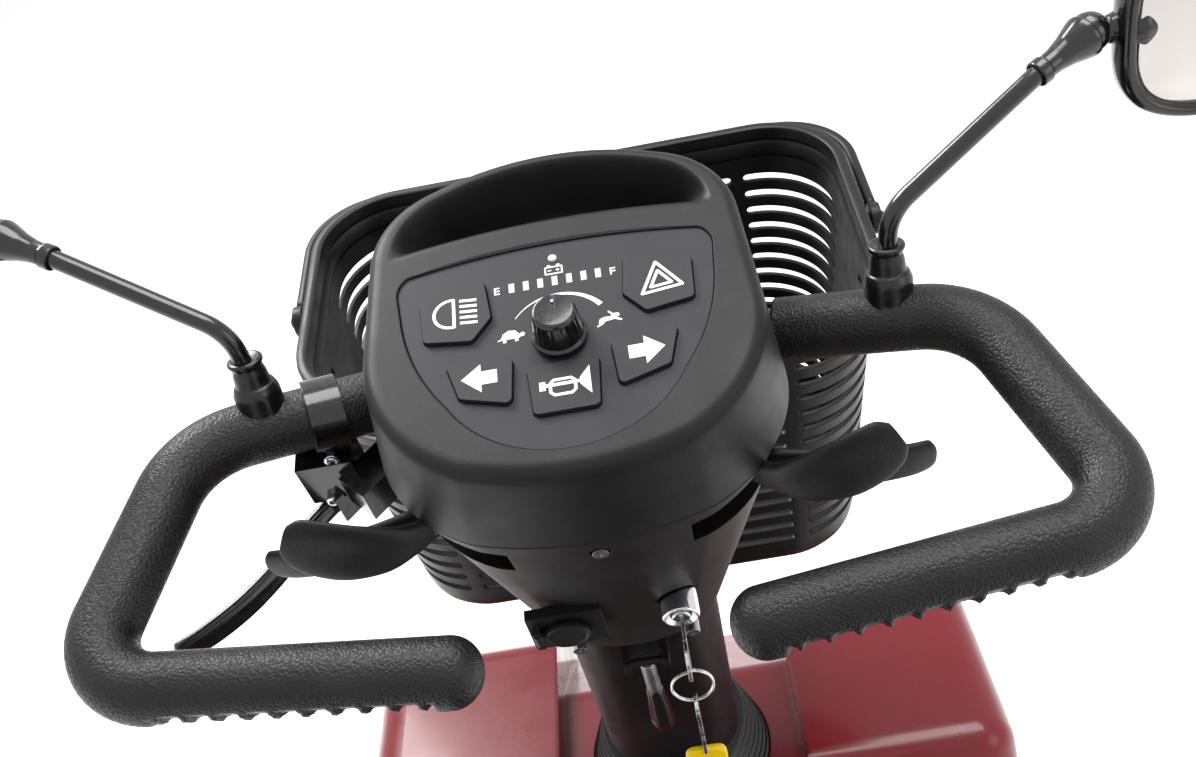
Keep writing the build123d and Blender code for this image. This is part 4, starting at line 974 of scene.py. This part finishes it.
def knob():
    """Speed knob: fluted skirt on a flange, with a pointer groove and a white dot."""
    sides, flutes, centre = 144, 24, at(0, 0, 0)
    profile = [(0.5, 0), (15, 0), (15, 3.2), (13.4, 4), (12.2, 19), (10.6, 21.6), (0.5, 21.6)]
    rings = lathe(soft_profile(profile, 0.9, 4), centre, AXIS_W, sides)
    fluted = []
    for ring in rings:
        out = []
        for k, p in enumerate(ring):
            height = (p - centre).dot(AXIS_W)
            axis_point = centre + AXIS_W * height
            wave = 0.5 + 0.5 * math.cos(k / sides * 2 * math.pi * flutes)
            depth = 0.0007 * wave if 0.005 < height < 0.019 else 0
            spoke = p - axis_point
            out.append(axis_point + spoke * (1 - depth / max(spoke.length, 1e-4)))
        fluted.append(out)
    piece = make("speed_knob_cap", *skin(fluted), "speed_knob", black_finish, "speed_knob", "gloss_black")
    groove = [[at(x, y, z) for x, y in ((-0.9, -2), (0.9, -2), (0.9, 14), (-0.9, 14))] for z in (20.6, 23)]
    cut(piece, *skin(groove))
    shade(piece)
    crease(piece, 40)
    disc = [(0.0001, 21.75 * MM), (0.0008, 21.75 * MM), (0.0009, 21.6 * MM)]
    dot = lathe(disc, at(0, 6.4, 0) - AXIS_W * 0.0004, AXIS_W, 20)
    make("knob_dot", *skin(dot), "speed_knob", ink_finish, slot="panel_plastic")


def marking(name, loops, body, finish, w=1.6, thick=0.12):
    """Printed shapes on the face: each loop is a closed outline, in millimetres."""
    verts, faces = [], []
    for loop in loops:
        base, count = len(verts), len(loop)
        area = sum(a[0] * b[1] - b[0] * a[1] for a, b in zip(loop, loop[1:] + loop[:1]))
        loop = loop if area > 0 else loop[::-1]
        verts += [at(u, v, w - 0.05) for u, v in loop] + [at(u, v, w + thick) for u, v in loop]
        faces.append(tuple(base + k for k in reversed(range(count))))
        faces.append(tuple(base + count + k for k in range(count)))
        faces += [(base + k, base + (k + 1) % count, base + count + (k + 1) % count, base + count + k)
                  for k in range(count)]
    make(name, verts, faces, body, finish, slot="panel_plastic", flat=True)


def box_loop(u, v, width, height, tilt=0.0):
    c, s = math.cos(math.radians(tilt)), math.sin(math.radians(tilt))
    x1, y1 = width / 2, height / 2
    corners = ((-x1, -y1), (x1, -y1), (x1, y1), (-x1, y1))
    return [(u + x * c - y * s, v + x * s + y * c) for x, y in corners]


def band(points, width, closed=False):
    """Outline quads of a line of that width, one for each of its runs."""
    out = []
    runs = list(zip(points, points[1:])) + ([(points[-1], points[0])] if closed else [])
    for (x0, y0), (x1, y1) in runs:
        length = math.hypot(x1 - x0, y1 - y0)
        out.append(box_loop((x0 + x1) / 2, (y0 + y1) / 2, length + width * 0.5, width,
                            math.degrees(math.atan2(y1 - y0, x1 - x0))))
    return out


def icons():
    """Generic printed symbols on the buttons and the plate."""
    lens = arc3((-56, 36.5), (-67, 27), (-56, 17.5), 16) + [(-56, 17.5)]
    beams = [box_loop(-48, 19 + 3.9 * k, 9.5, 1.7, -6) for k in range(5)]
    marking("headlight_symbol", band(lens, 1.7, True) + beams, "headlight_button", ink_finish)
    triangle = [(46, 17), (68, 19.5), (55.5, 38)]
    middle = (56.5, 24.8)
    small = [(middle[0] + (x - middle[0]) * 0.52, middle[1] + (y - middle[1]) * 0.52) for x, y in triangle]
    marking("hazard_symbol", band(triangle, 1.6, True) + band(small, 1.6, True), "hazard_button", ink_finish)
    for side, hand in ((-1, "left"), (1, "right")):
        arrow = [(53.5, -19.5), (43, -11), (43, -15.8), (34.5, -15.8), (34.5, -24.2), (43, -24.2), (43, -29)]
        marking(hand + "_arrow_symbol", [[(side * u, v) for u, v in arrow]], hand + "_arrow_button", ink_finish)
    bell = [(13.5, -23.5), (13.5, -41.5), (8, -34.5), (8, -30.5)]
    tube_line = [(8.5, -32.5), (-9.5, -32.5)]
    coil = [(-5.5, -29.5), (3.5, -29.5), (5.5, -31.5), (5.5, -37),
            (3.5, -39), (-5.5, -39), (-7.5, -37), (-7.5, -31.5)]
    marking("horn_symbol", [bell] + band(tube_line, 1.9) + band(coil, 1.6, True)
            + [box_loop(-11.5, -32.5, 3.2, 5.5)], "horn_button", ink_finish)
    plate_w = -1.0
    bars = [box_loop(u, 40, 3.2, 6.6) for u in (-24, -16, -8, 0, 8, 16, 24)]
    marking("gauge_bars", bars, "tiller", grey_finish, plate_w)
    letter_e = [box_loop(-33.3, 39.5, 0.8, 5)] + [box_loop(-32, 39.5 + y, 2.6, 0.8) for y in (-2.1, 0, 2.1)]
    letter_f = [box_loop(31, 39.5, 0.8, 5)] + [box_loop(32.3, 39.5 + y, 2.6, 0.8) for y in (0, 2.1)]
    marking("gauge_letters", letter_e + letter_f, "tiller", ink_finish, plate_w)
    battery = band([(-4.6, 45.2), (4.6, 45.2), (4.6, 50.2), (-4.6, 50.2)], 0.8, True)
    battery += [box_loop(-2.6, 51.2, 1.8, 1.2), box_loop(2.6, 51.2, 1.8, 1.2), box_loop(-2.2, 47.7, 2, 0.6),
                box_loop(2.2, 47.7, 2, 0.6), box_loop(2.2, 47.7, 0.6, 2)]
    marking("battery_symbol", battery, "tiller", ink_finish, plate_w)
    turned("charge_led", [(2.6, -0.3), (2.6, 0.6), (1.6, 1.3), (0.2, 1.5)], 0.5, at(0, 56.5, plate_w), AXIS_W,
           24, "tiller", grey_finish, slot="lamp_lens")
    arc, arc_r, steps = [], 28, 40
    for k in range(steps):
        a0, a1 = (math.radians(146 - 112 * (k + j) / steps) for j in (0, 1))
        thick = 0.35 + 2.6 * (k / steps) ** 1.4
        inside, outside = arc_r - thick / 2, arc_r + thick / 2
        corners = ((inside, a0), (outside, a0), (outside, a1), (inside, a1))
        arc.append([(r * math.cos(a), r * math.sin(a) + 2) for r, a in corners])
    marking("speed_arc", arc, "tiller", ink_finish, plate_w)
    tortoise = [[(-41, -4), (-39.5, -0.2), (-36, 1.8), (-32, 1.4), (-29.5, -1.6), (-29.5, -4)],
                [(-29.5, -1.4), (-27.6, -0.4), (-26.2, -1.4), (-26.8, -3), (-29.5, -3.4)],
                box_loop(-38.6, -5, 2, 2), box_loop(-31.4, -5, 2, 2), [(-41, -3), (-43, -4.4), (-41, -4.2)]]
    tortoise = [[(u * 0.9 + 5, v + 8.5) for u, v in loop] for loop in tortoise]
    marking("tortoise_symbol", tortoise, "tiller", ink_finish, plate_w)
    hare = [[(28, -4.5), (29, -1.6), (32, -0.4), (36, -0.6), (39, 1.4), (41.8, 1.2), (42.6, -0.6), (40, -2),
             (37.6, -3.2), (33, -3.6), (30.4, -5.6)],
            [(38.6, 1), (35.4, 4), (34.8, 3.2), (37.4, 0.4)], [(40, -1.8), (44, -4), (43, -4.8), (38.8, -3)],
            [(30, -4.6), (26.4, -6.6), (27.4, -7.2), (31.4, -5.4)]]
    hare = [[(u * 0.8 - 1.5, v * 0.9 + 8.5) for u, v in loop] for loop in hare]
    marking("hare_symbol", hare, "tiller", ink_finish, plate_w)


# ------------------------------------------------------------------------------------
# Paddles and brake lever
# ------------------------------------------------------------------------------------
def blade(name, body, spine, heights, thick, finish, replaces=None, slot=None, up=AXIS_W, dimple=0.0, sides=40):
    """A moulded lever: flat rounded sections along a spine, with a height for each point."""
    count = len(spine)
    route, tall = [], []
    for k in range(count - 1):
        for j in range(10):
            t = j / 10
            p0, p1, p2, p3 = (spine[min(max(k + d, 0), count - 1)] for d in (-1, 0, 1, 2))
            route.append(((p1 * 2) + (p2 - p0) * t + (p0 * 2 - p1 * 5 + p2 * 4 - p3) * t * t
                          + (p1 * 3 - p0 - p2 * 3 + p3) * t ** 3) * 0.5)
            h0, h1, h2, h3 = (heights[min(max(k + d, 0), count - 1)] for d in (-1, 0, 1, 2))
            tall.append(0.5 * (2 * h1 + (h2 - h0) * t + (2 * h0 - 5 * h1 + 4 * h2 - h3) * t * t
                               + (3 * h1 - h0 - 3 * h2 + h3) * t ** 3))
    rings = []
    for (point, _, across, normal), height in zip(frames(route, up), tall):
        share = len(rings) / len(route)
        ring = []
        for i in range(sides):
            a = 2 * math.pi * i / sides
            c, s = math.cos(a), math.sin(a)
            x = flattened(c, 0.75) * thick / 2
            y = flattened(s, 0.75) * height / 2
            sunk = dimple * bump_at(share, 0.55, 0.3) * bump_at(y / max(height, 1e-4), 0.0, 0.4)
            ring.append(point + across * (x - math.copysign(sunk, c)) * MM + normal * y * MM)
        rings.append(ring)
    return make(name, *skin(rings), body, finish, replaces or (), slot)


def paddles():
    """Thumb and finger paddles on both sides, and the arms that carry them out of the head."""
    for side, hand in ((-1, "left"), (1, "right")):
        def place(*points):
            return [at(side * u, v, w) for u, v, w in points]
        blade("thumb_paddle_" + hand, "speed_paddles",
              place((60, -38, -80), (84, -49, -79), (100, -61, -76), (112, -69, -70), (130, -73.5, -60),
                    (147, -72, -52), (158, -68.5, -48), (163.5, -66, -46)),
              [14, 18, 25, 33, 39, 38, 32, 18], 7.0, paddle_finish, "speed_paddles", "dark_plastic", dimple=1.2)
        blade("finger_paddle_" + hand, "speed_paddles",
              place((84, -40, -80), (108, -47, -84), (128, -52, -87), (150, -56, -88), (172, -56.5, -88),
                    (183, -55, -88), (186, -54, -88)),
              [12, 22, 30, 33, 30, 26, 18], 7.5, paddle_finish, slot="dark_plastic")
        blade("paddle_arm_" + hand, "speed_paddles",
              place((0, -2, -79), (30, -14, -79), (64, -34, -79), (96, -50, -79)),
              [13, 13, 13, 13], 20, paddle_finish, slot="dark_plastic")


def brake_lever():
    """Cast brake lever: an eye on the pivot, then a blade that widens, with a raised ridge."""
    pivot = Vector((-160, 8, -126))
    along = Vector((-0.715, -0.699, 0))
    down = Vector((-0.699, 0.715, 0))

    def place(reach, off, drop):
        p = pivot + along * reach + down * off + Vector((0, 0, drop))
        return at(p.x, p.y, p.z)

    blade("brake_blade", "brake_lever",
          [place(0, 0, 0), place(20, 0, 0), place(45, -3.5, -2), place(80, -5, -3), place(110, -2.5, -1),
           place(128, 1.5, 2), place(131, 2.5, 3)],
          [13, 15, 18, 19.5, 19, 15, 7], 8.5, black_finish, "brake_lever", "gloss_black", dimple=-0.8)
    eye = lathe(soft_profile([(3.2, -7), (7.2, -7), (7.2, 7), (3.2, 7)], 1.0), at(*pivot), turn(0, 0, 1), 40)
    make("brake_eye", *skin(eye + [eye[0]], False, False), "brake_lever", black_finish, slot="gloss_black",
         merge=0.00001)


def chrome_details():
    """The bracket's two bolts and the cable adjuster's nut."""
    for name, place, axis, radius in (
        ("bracket_bolt_upper", at(-150, 4, -79), turn(0, -1, 0.25), 4.4),
        ("bracket_bolt_lower", at(-160, -1.5, -112), turn(0, -1, 0.1), 3.8),
    ):
        head = [(0.3, -4), (radius, -4), (radius, 2.6), (radius * 0.55, 3), (radius * 0.5, 1), (0.3, 1)]
        turned(name, head, 0.5, place, axis, 48, "tiller", chrome_finish, slot="screw_steel")
    origin, axis = at(-116, 15.5, -104), turn(0.715, 0.699, 0)
    nut = [(3, -2), (6.4, -2), (6.4, 7), (4.4, 8), (4.4, 13), (2.9, 14), (2.9, 18), (0.3, 18)]
    turned("cable_adjuster", nut, 0.5, origin, axis, 96, "tiller", steel_finish, slot="screw_steel")


# ------------------------------------------------------------------------------------
# Column: charger cap, lock, keys and tilt lever
# ------------------------------------------------------------------------------------
FRONT_V = -76                       # front of the head where the socket and the lock sit
CHARGER_U, CHARGER_W = -36, -190
LOCK_U, LOCK_W = 34, -187


def charger_cap():
    """Round hinged cap with a raised rim and a dished middle."""
    turned("charger_cap_disc", [(0.3, -2), (13.8, -2), (14, 1.8), (12.6, 2.4), (11.6, 1.4), (0.3, 1.1)], 0.6,
           at(CHARGER_U, FRONT_V, CHARGER_W), turn(0, -1, 0), 64, "charger_cap", cover_finish, "charger_cap",
           "dark_plastic")
    turned("charger_cap_barrel", [(0.3, -6.4), (2.9, -6.4), (2.9, 6.4), (0.3, 6.4)], 0.5,
           at(-54, FRONT_V - 0.5, CHARGER_W), AXIS_W, 32, "charger_cap", cover_finish, slot="dark_plastic")
    tab_section = ((-54, -78.4), (-48, -78.2), (-48, -75), (-54, -75))
    tab = [[at(u, v, CHARGER_W + h) for u, v in tab_section] for h in (-6, 6)]
    make("charger_cap_tab", *skin(tab), "charger_cap", cover_finish, slot="dark_plastic", flat=True)


def lock():
    """Chrome lock: a bright bezel with a dished face round the key plug."""
    rings = lathe(soft_profile([(6.1, -16), (11.4, -16), (11.6, 2.2), (10.4, 3.4), (8.6, 2.2), (6.6, 1.0),
                                (6.1, -4)], 0.7), at(LOCK_U, FRONT_V, LOCK_W), turn(0, -1, 0), 72)
    make("lock_bezel", *skin(rings + [rings[0]], False, False), "tiller", chrome_finish, "ignition_lock",
         "lock_chrome", merge=0.00001)


def key_shape():
    """Key: turning plug, flat shank and a pierced bow, standing edge-on to the rider."""
    plug = [(0.3, -18), (5.9, -18), (5.9, 2.4), (4.6, 3.0), (0.3, 3.0)]
    turned("key_plug", plug, 0.5, at(LOCK_U, FRONT_V, LOCK_W), turn(0, -1, 0), 48, "key", chrome_finish, "key",
           "key_steel")
    bow = arc3((-97, -9), (-119, 0), (-97, 9), 40)
    outline = even([(-78, -3.6), (-94, -3.6)] + bow + [(-94, 3.6), (-78, 3.6)], 120)
    rings = [[at(LOCK_U + h, v, LOCK_W + w) for v, w in (inset(outline, d) if d else outline)]
             for h, d in ((-1.1, 0.4), (-0.8, 0), (0.8, 0), (1.1, 0.4))]
    piece = make("key_bow", *skin(rings), "key", steel_finish, slot="key_steel")
    cut(piece, *skin(lathe([(0.0036, -0.004), (0.0036, 0.004)], at(LOCK_U, -113, LOCK_W), AXIS_U, 32)))
    crease(piece, 40)


def key_ring():
    """Split ring of two coils hanging from the key, with a spare key and its yellow head."""
    ring_radius, hang = 0.0125, 0.0024
    hole = at(LOCK_U, -112, LOCK_W)
    centre = hole - Vector((0, 0, hang + ring_radius))
    route = [
        centre + Vector((math.cos(a) * ring_radius, 0.0006 * (a / math.pi - 2.0), math.sin(a) * ring_radius))
        for a in (math.pi / 2 + 4 * math.pi * k / 128 for k in range(129))
    ]
    make("key_ring", *skin(tube(route, 0.00075, 14, (0, 1, 0))), "key_ring", chrome_finish, "key_ring_set",
         "key_steel")
    spare = centre - Vector((0, 0, ring_radius + hang))
    outline = arc3((-7.5, -6), (0, 4.6), (7.5, -6), 20) + [(7.5, -6), (4, -11), (3.4, -44), (-3.4, -44)]
    outline += [(-3.4 + (0.9 if k % 2 else -0.1), -41 + 4.4 * k) for k in range(6)]
    outline += [(-3.6, -11)]
    rings = [[spare + Vector((h, y * MM, z * MM)) for y, z in outline] for h in (-0.0011, 0.0011)]
    piece = make("spare_key", *skin(rings, False, False), "key_ring", steel_finish, slot="key_steel", flat=True)
    shape = bmesh.new()
    shape.from_mesh(piece.data)
    bmesh.ops.holes_fill(shape, edges=shape.edges, sides=0)
    bmesh.ops.recalc_face_normals(shape, faces=shape.faces)
    shape.to_mesh(piece.data)
    shape.free()
    head = spare - Vector((0, 0, 0.054))

    def ring(scale, y):
        return [
            head + Vector((flattened(math.cos(a), 0.4) * 0.013 * scale, y,
                           flattened(math.sin(a), 0.4) * 0.012 * scale))
            for a in (2 * math.pi * k / 48 for k in range(48))
        ]

    make("spare_key_head",
         *skin([ring(0.86, -0.0026), ring(0.96, -0.0022), ring(1, -0.001), ring(1, 0.001), ring(0.96, 0.0022),
                ring(0.86, 0.0026)]), "key_ring", yellow_finish, slot="key_steel")


def tilt_lever():
    """Tilt lever: a grey rod with a glossy teardrop knob."""
    low, high = at(0, -40, -325), at(0, -40, -443)
    axis = (high - low).normalized()
    turned("tilt_rod", [(0.3, 0), (5.4, 0), (5.4, 50), (0.3, 50)], 0.6, low, axis, 40, "tilt_lever",
           zinc_finish, "tilt_lever", "zinc_steel")
    teardrop = [(0.3, 44), (6.2, 44), (6.8, 50), (8.4, 74), (10, 98), (9.6, 108), (7, 114.5), (0.3, 118)]
    drop = lathe(soft_profile(teardrop, 5, 6), low, axis, 48)
    make("tilt_knob", *skin(drop), "tilt_lever", black_finish, slot="gloss_black")


def bellows():
    """Rubber bellows between the cowl and the column, folded like a concertina."""
    top, bottom = at(0, 15, -563), Vector((0, at(0, 15, -662).y - 0.007, 0.352))
    wide, narrow, folds = 0.079, 0.058, 7
    angles = [2 * math.pi * i / 72 for i in range(72)]
    rings = []
    for k in range(folds * 8 + 1):
        t = k / (folds * 8)
        centre = bottom.lerp(top, t)
        wave = 0.0045 * math.cos(2 * math.pi * t * folds)
        radius = wide + (narrow - wide) * t + wave
        tilt = RAKE * t
        side, fore = Vector((1, 0, 0)), Vector((0, math.cos(tilt), math.sin(tilt)))
        rings.append([centre + (side * math.cos(a) + fore * math.sin(a)) * radius for a in angles])
    verts, faces = skin(rings)
    piece = solid("bellows_folds", verts, faces)
    shade(piece)
    piece.data.materials.append(boot_finish)
    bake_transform(piece)
    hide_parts("bellows")


# ------------------------------------------------------------------------------------
# Bodywork, wheels and seat
# ------------------------------------------------------------------------------------
def tyre(name, body):
    """Pneumatic tyre: rounded shoulders, sidewall beads and staggered tread blocks."""
    low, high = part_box(name)
    centre = (low + high) / 2
    radius, half = (high.z - low.z) / 2, (high.x - low.x) / 2
    section = []
    for k in range(41):
        a = math.pi * (k / 40) - math.pi / 2
        c, s = math.cos(a), math.sin(a)
        x = flattened(s, 0.62) * half
        section.append((x, radius - (1 - abs(c) ** 0.5) * (radius - 0.076)))
    rings = []
    count = 168
    for i in range(count):
        a = 2 * math.pi * i / count
        ring = []
        for x, r in section:
            across = abs(x / half)
            block = (i + (3 if x > 0 else 0)) % 7
            groove = across < 0.62 and (0.10 < across < 0.17 or block < 1)
            lug = 0.62 <= across < 0.92 and block < 2
            r = r - (0.0035 if groove else 0.0025 if lug else 0.0)
            ring.append(centre + Vector((x, math.cos(a) * r, math.sin(a) * r)))
        inner = [(half * 0.72, 0.0735), (0.0, 0.0735), (-half * 0.72, 0.0735)]
        ring += [centre + Vector((x, math.cos(a) * r, math.sin(a) * r)) for x, r in inner]
        rings.append(ring)
    verts, faces = skin(rings + [rings[0]], False, False)
    piece = make(name + "_tread", verts, faces, body, tyre_finish, name, "tyre", merge=0.00001)
    crease(piece, 45)


VOXEL = 0.0065          # cell size of a pad's cloth, in metres
CLOTH_FRAMES = 20       # length of its simulation


def swollen(name, ring_list, body, replaces, slot, pressure=4.0, cap=0.008):
    """A stuffed piece: a closed form, remeshed and swollen by cloth simulation, then smoothed."""
    verts, faces = skin(ring_list)
    piece = make(name, verts, faces, body, vinyl_finish, replaces, slot)
    remesh = piece.modifiers.new("remesh", "REMESH")
    remesh.mode = "VOXEL"
    remesh.voxel_size = VOXEL
    data = baked(piece)
    piece.modifiers.clear()
    piece.data = data
    rest = [v.co.copy() for v in data.vertices]
    cloth = piece.modifiers.new("cloth", "CLOTH")
    cloth.settings.use_pressure = True
    cloth.settings.uniform_pressure_force = pressure
    cloth.settings.quality = 4
    cloth.settings.effector_weights.gravity = 0.0
    cloth.point_cache.frame_start, cloth.point_cache.frame_end = 1, CLOTH_FRAMES
    for number in range(1, CLOTH_FRAMES + 1):
        bpy.context.scene.frame_set(number)
    moved = baked(piece)
    piece.modifiers.clear()
    for vertex, start, swelled in zip(data.vertices, rest, moved.vertices):
        shift = swelled.co - start
        vertex.co = start + shift * min(1.0, cap / max(shift.length, 1e-9))
    bpy.context.scene.frame_set(1)
    subdivide = piece.modifiers.new("smooth", "SUBSURF")
    subdivide.levels = subdivide.render_levels = 1
    final = baked(piece)
    piece.modifiers.clear()
    piece.data = final
    final.materials.clear()
    final.materials.append(vinyl_finish)
    shade(piece)


def pad_rings(low, high, axis, inset_by, seams=(), groove=0.004, power=5.0, steps=40):
    """Rounded sections of a pad between two corners, pulled in at its ends and along its seams."""
    order = {"x": (0, 1, 2), "y": (1, 0, 2), "z": (2, 0, 1)}[axis]
    centre = (low + high) / 2
    half = [(high[k] - low[k]) / 2 - inset_by for k in range(3)]
    rings = []
    for step in range(steps + 1):
        t = -1 + 2 * step / steps
        squeeze = (1 - abs(t) ** 9) ** 0.5 * 0.12 + 0.88 if abs(t) < 1 else 0.86
        pulled = sum(groove * bump_at(t, seam, 0.06) for seam in seams)
        ring = []
        for k in range(96):
            a = 2 * math.pi * k / 96
            c, s = math.cos(a), math.sin(a)
            p = [0.0, 0.0, 0.0]
            p[order[0]] = t * half[order[0]]
            p[order[1]] = flattened(c, 2 / power) * (half[order[1]] * squeeze - pulled)
            p[order[2]] = flattened(s, 2 / power) * (half[order[2]] * squeeze - pulled)
            ring.append(centre + Vector(p))
        rings.append(ring)
    return rings


def seat():
    """Seat cushion, backrest and both armrests, each stuffed and covered in vinyl."""
    low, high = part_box("seat_cushion")
    swollen("seat_pad", pad_rings(low, high, "x", 0.008, (-0.55, 0.55), 0.010), "seat", "seat_cushion",
            "seat_vinyl")
    low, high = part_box("seat_backrest")
    rings = []
    for step in range(49):
        t = step / 48
        z = low.z + 0.008 + (high.z - low.z - 0.016) * t
        front = -0.478 - 0.058 * t + 0.012 * math.sin(math.pi * t)
        depth = 0.055 + 0.006 * math.sin(math.pi * t)
        rounded_ends = 1 - 0.16 * smooth_step((t - 0.9) / 0.1) - 0.06 * smooth_step((0.05 - t) / 0.05)
        width = (0.198 - 0.03 * t ** 3) * rounded_ends
        pulled = 0.008 * (bump_at(t, 0.33, 0.03) + bump_at(t, 0.7, 0.03))
        ring = []
        for k in range(96):
            a = 2 * math.pi * k / 96
            c, s = math.cos(a), math.sin(a)
            x = flattened(c, 0.45) * (width - pulled)
            y = flattened(s, 0.6) * (depth / 2 - pulled * (1 if s > 0 else 0.2))
            ring.append(Vector((x, front - depth / 2 + y, z)))
        rings.append(ring)
    swollen("back_pad", rings, "backrest", "seat_backrest", "seat_vinyl")
    for hand in ("left", "right"):
        low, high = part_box("armrest_" + hand)
        swollen("arm_pad_" + hand, pad_rings(low, high, "y", 0.003, (), 0.0, 3.2), "armrest_" + hand,
                "armrest_" + hand, "arm_foam", 3.0, 0.003)


# The basket hangs tipped away from the rider; its studs carry the handle. In millimetres.
BASKET_TILT = math.radians(9)
BASKET_V, BASKET_W = 111, -160
STUD_DEEP, STUD_HIGH = 120, -22
TOP_HALF, TOP_FAR, BASKET_HEIGHT, TAPER_HALF, TAPER_FAR = 209, 239, 262, 25, 27
SLOT_ROWS, FIRST_SLOT, SLOT_PITCH, SLOT_R = 13, -45, 15.5, 3.4


def in_basket(x, deep, high):
    """World position of a point given in the basket's frame: across, away from the rider, and up."""
    c, s = math.cos(BASKET_TILT), math.sin(BASKET_TILT)
    return at(x, BASKET_V + deep * c + high * s, BASKET_W - deep * s + high * c)


def basket_loop(high, drawn_in, corner=62):
    """The basket's rounded outline at one height, moved inwards by that much."""
    half, far = TOP_HALF + TAPER_HALF / BASKET_HEIGHT * high, TOP_FAR + TAPER_FAR / BASKET_HEIGHT * high
    loop = []
    for cx, cy, start in ((half - corner, far - corner, 0), (corner - half, far - corner, 90),
                          (corner - half, corner, 180), (half - corner, corner, 270)):
        loop += [(cx + corner * math.cos(math.radians(start + 90 * k / 16)),
                  cy + corner * math.sin(math.radians(start + 90 * k / 16))) for k in range(17)]
    return inset(even(loop, 256), drawn_in)


def basket():
    """Moulded basket: tapering walls, a stepped lip, and rows of slots between upright posts."""
    outside = [(-262, 9), (-260, 4), (-255, 1), (-246, 0), (-120, 0), (-30, 0), (-17, 0)]
    lip = [(-15.5, -1.6), (-14.5, -4), (-12, -5), (-4, -5), (-1.2, -4), (0, -2), (0, 2.2), (-1, 4), (-9, 5)]
    steps = [(-11, 4.4), (-12, 3.2), (-14, 4.6), (-23, 5.2), (-25, 4.4), (-26, 3.5)]
    inside = [(-60, 3.5), (-150, 3.5), (-240, 3.5), (-252, 5), (-257, 9), (-258, 14)]
    section = outside + lip + steps + inside
    rings = [[in_basket(x, y, high) for x, y in basket_loop(high, drawn_in)] for high, drawn_in in section]
    piece = make("basket_body", *skin(rings), "basket", basket_finish, "basket", "basket_plastic")
    verts, faces = [], []

    def slot_cut(left, right, near, far, level):
        """A slot with round ends, cut right through between two depths."""
        turns = [math.radians(a) for a in range(-90, 91, 20)]
        outline = [(left + SLOT_R * (1 - math.cos(a)), level - SLOT_R * math.sin(a)) for a in turns]
        outline += [(right - SLOT_R * (1 - math.cos(a)), level + SLOT_R * math.sin(a)) for a in turns]
        more_verts, more_faces = skin([[in_basket(x, y, z) for x, z in outline] for y in (near, far)])
        base = len(verts)
        verts.extend(more_verts)
        faces.extend(tuple(base + k for k in face) for face in more_faces)

    for row in range(SLOT_ROWS):
        level = FIRST_SLOT - SLOT_PITCH * row
        for side in (-1, 1):
            for left, right, near, far in ((5, 128, -40, 60), (5, 128, 160, 300), (138, 262, 156, 314),
                                           (138, 262, -74, 84)):
                left, right = sorted((side * left, side * right))
                slot_cut(left, right, near, far, level)
    cut(piece, verts, faces)
    shade(piece)
    crease(piece, 40)
    for side, hand in ((-1, "left"), (1, "right")):
        turned("basket_stud_" + hand, [(0.3, 0), (5, 0), (5, 22), (3.6, 23.5), (0.3, 23.5)], 0.8,
               in_basket(side * 206, STUD_DEEP, STUD_HIGH), (side, 0, 0), 32, "basket", basket_finish,
               slot="basket_plastic")


def basket_handle():
    """Carrying handle: a flat strap from stud to stud, folded forward round the lip."""
    corner, reach, wide = 58, 258, 222
    path = [(wide, 122 + 8 * k) for k in range(1, 9)]
    turns = [math.radians(a) for a in range(0, 91, 6)]
    path += [(wide - corner + corner * math.cos(a), reach - corner + corner * math.sin(a)) for a in turns]
    path += [(x * (wide - corner), reach) for x in (0.5, 0)]
    path += [(-x, y) for x, y in reversed(path[:-1])]
    rings = []
    for k, (x, y) in enumerate(path):
        ax, ay = path[max(k - 1, 0)]
        bx, by = path[min(k + 1, len(path) - 1)]
        length = math.hypot(bx - ax, by - ay)
        nx, ny = (by - ay) / length, (ax - bx) / length
        rings.append([in_basket(x + nx * out, y + ny * out, STUD_HIGH + up) for out, up in
                      ((-4, -5), (-2.5, -7), (2.5, -7), (4, -5), (4, 5), (2.5, 7), (-2.5, 7), (-4, 5))])
    make("handle_strap", *skin(rings), "basket_handle", basket_finish, "basket_handle", "basket_plastic")
    for side, hand in ((-1, "left"), (1, "right")):
        turned("handle_eye_" + hand, [(0.3, -4), (12, -4), (12, 4), (0.3, 4)], 1.2,
               in_basket(side * wide, STUD_DEEP, STUD_HIGH), (side, 0, 0), 40, "basket_handle", basket_finish,
               slot="basket_plastic")


def wheels():
    for place in ("front", "rear"):
        for hand in ("left", "right"):
            tyre(place + "_tyre_" + hand, place + "_wheel_" + hand)


# ------------------------------------------------------------------------------------
# Build
# ------------------------------------------------------------------------------------
camera()
floor()
lights()
finish_nodes()
head_finish, cover_finish, paddle_finish = head_plastic(), cover_plastic(), dark_plastic()
black_finish, boot_finish, grip_finish = gloss_black(), boot_rubber(), grip_foam()
glass_finish, chrome_finish, steel_finish = mirror_glass(), lock_chrome(), key_steel()
zinc_finish, yellow_finish = zinc_steel(), yellow_plastic()
vinyl_finish, tyre_finish = seat_vinyl(), tyre_rubber()
basket_finish = basket_plastic()
ink_finish, grey_finish = print_ink("white_print_finish", "f2f2f2"), print_ink("grey_print_finish", "b3b6ba")
for side, hand in ((-1, "left"), (1, "right")):
    grip(side, hand)
    boot(side, hand)
    stem(side, hand)
    mirror_head(side, hand)
head_upper()
head_lower()
knob()
icons()
paddles()
brake_lever()
chrome_details()
charger_cap()
lock()
key_shape()
key_ring()
tilt_lever()
bellows()
wheels()
basket()
basket_handle()
seat()
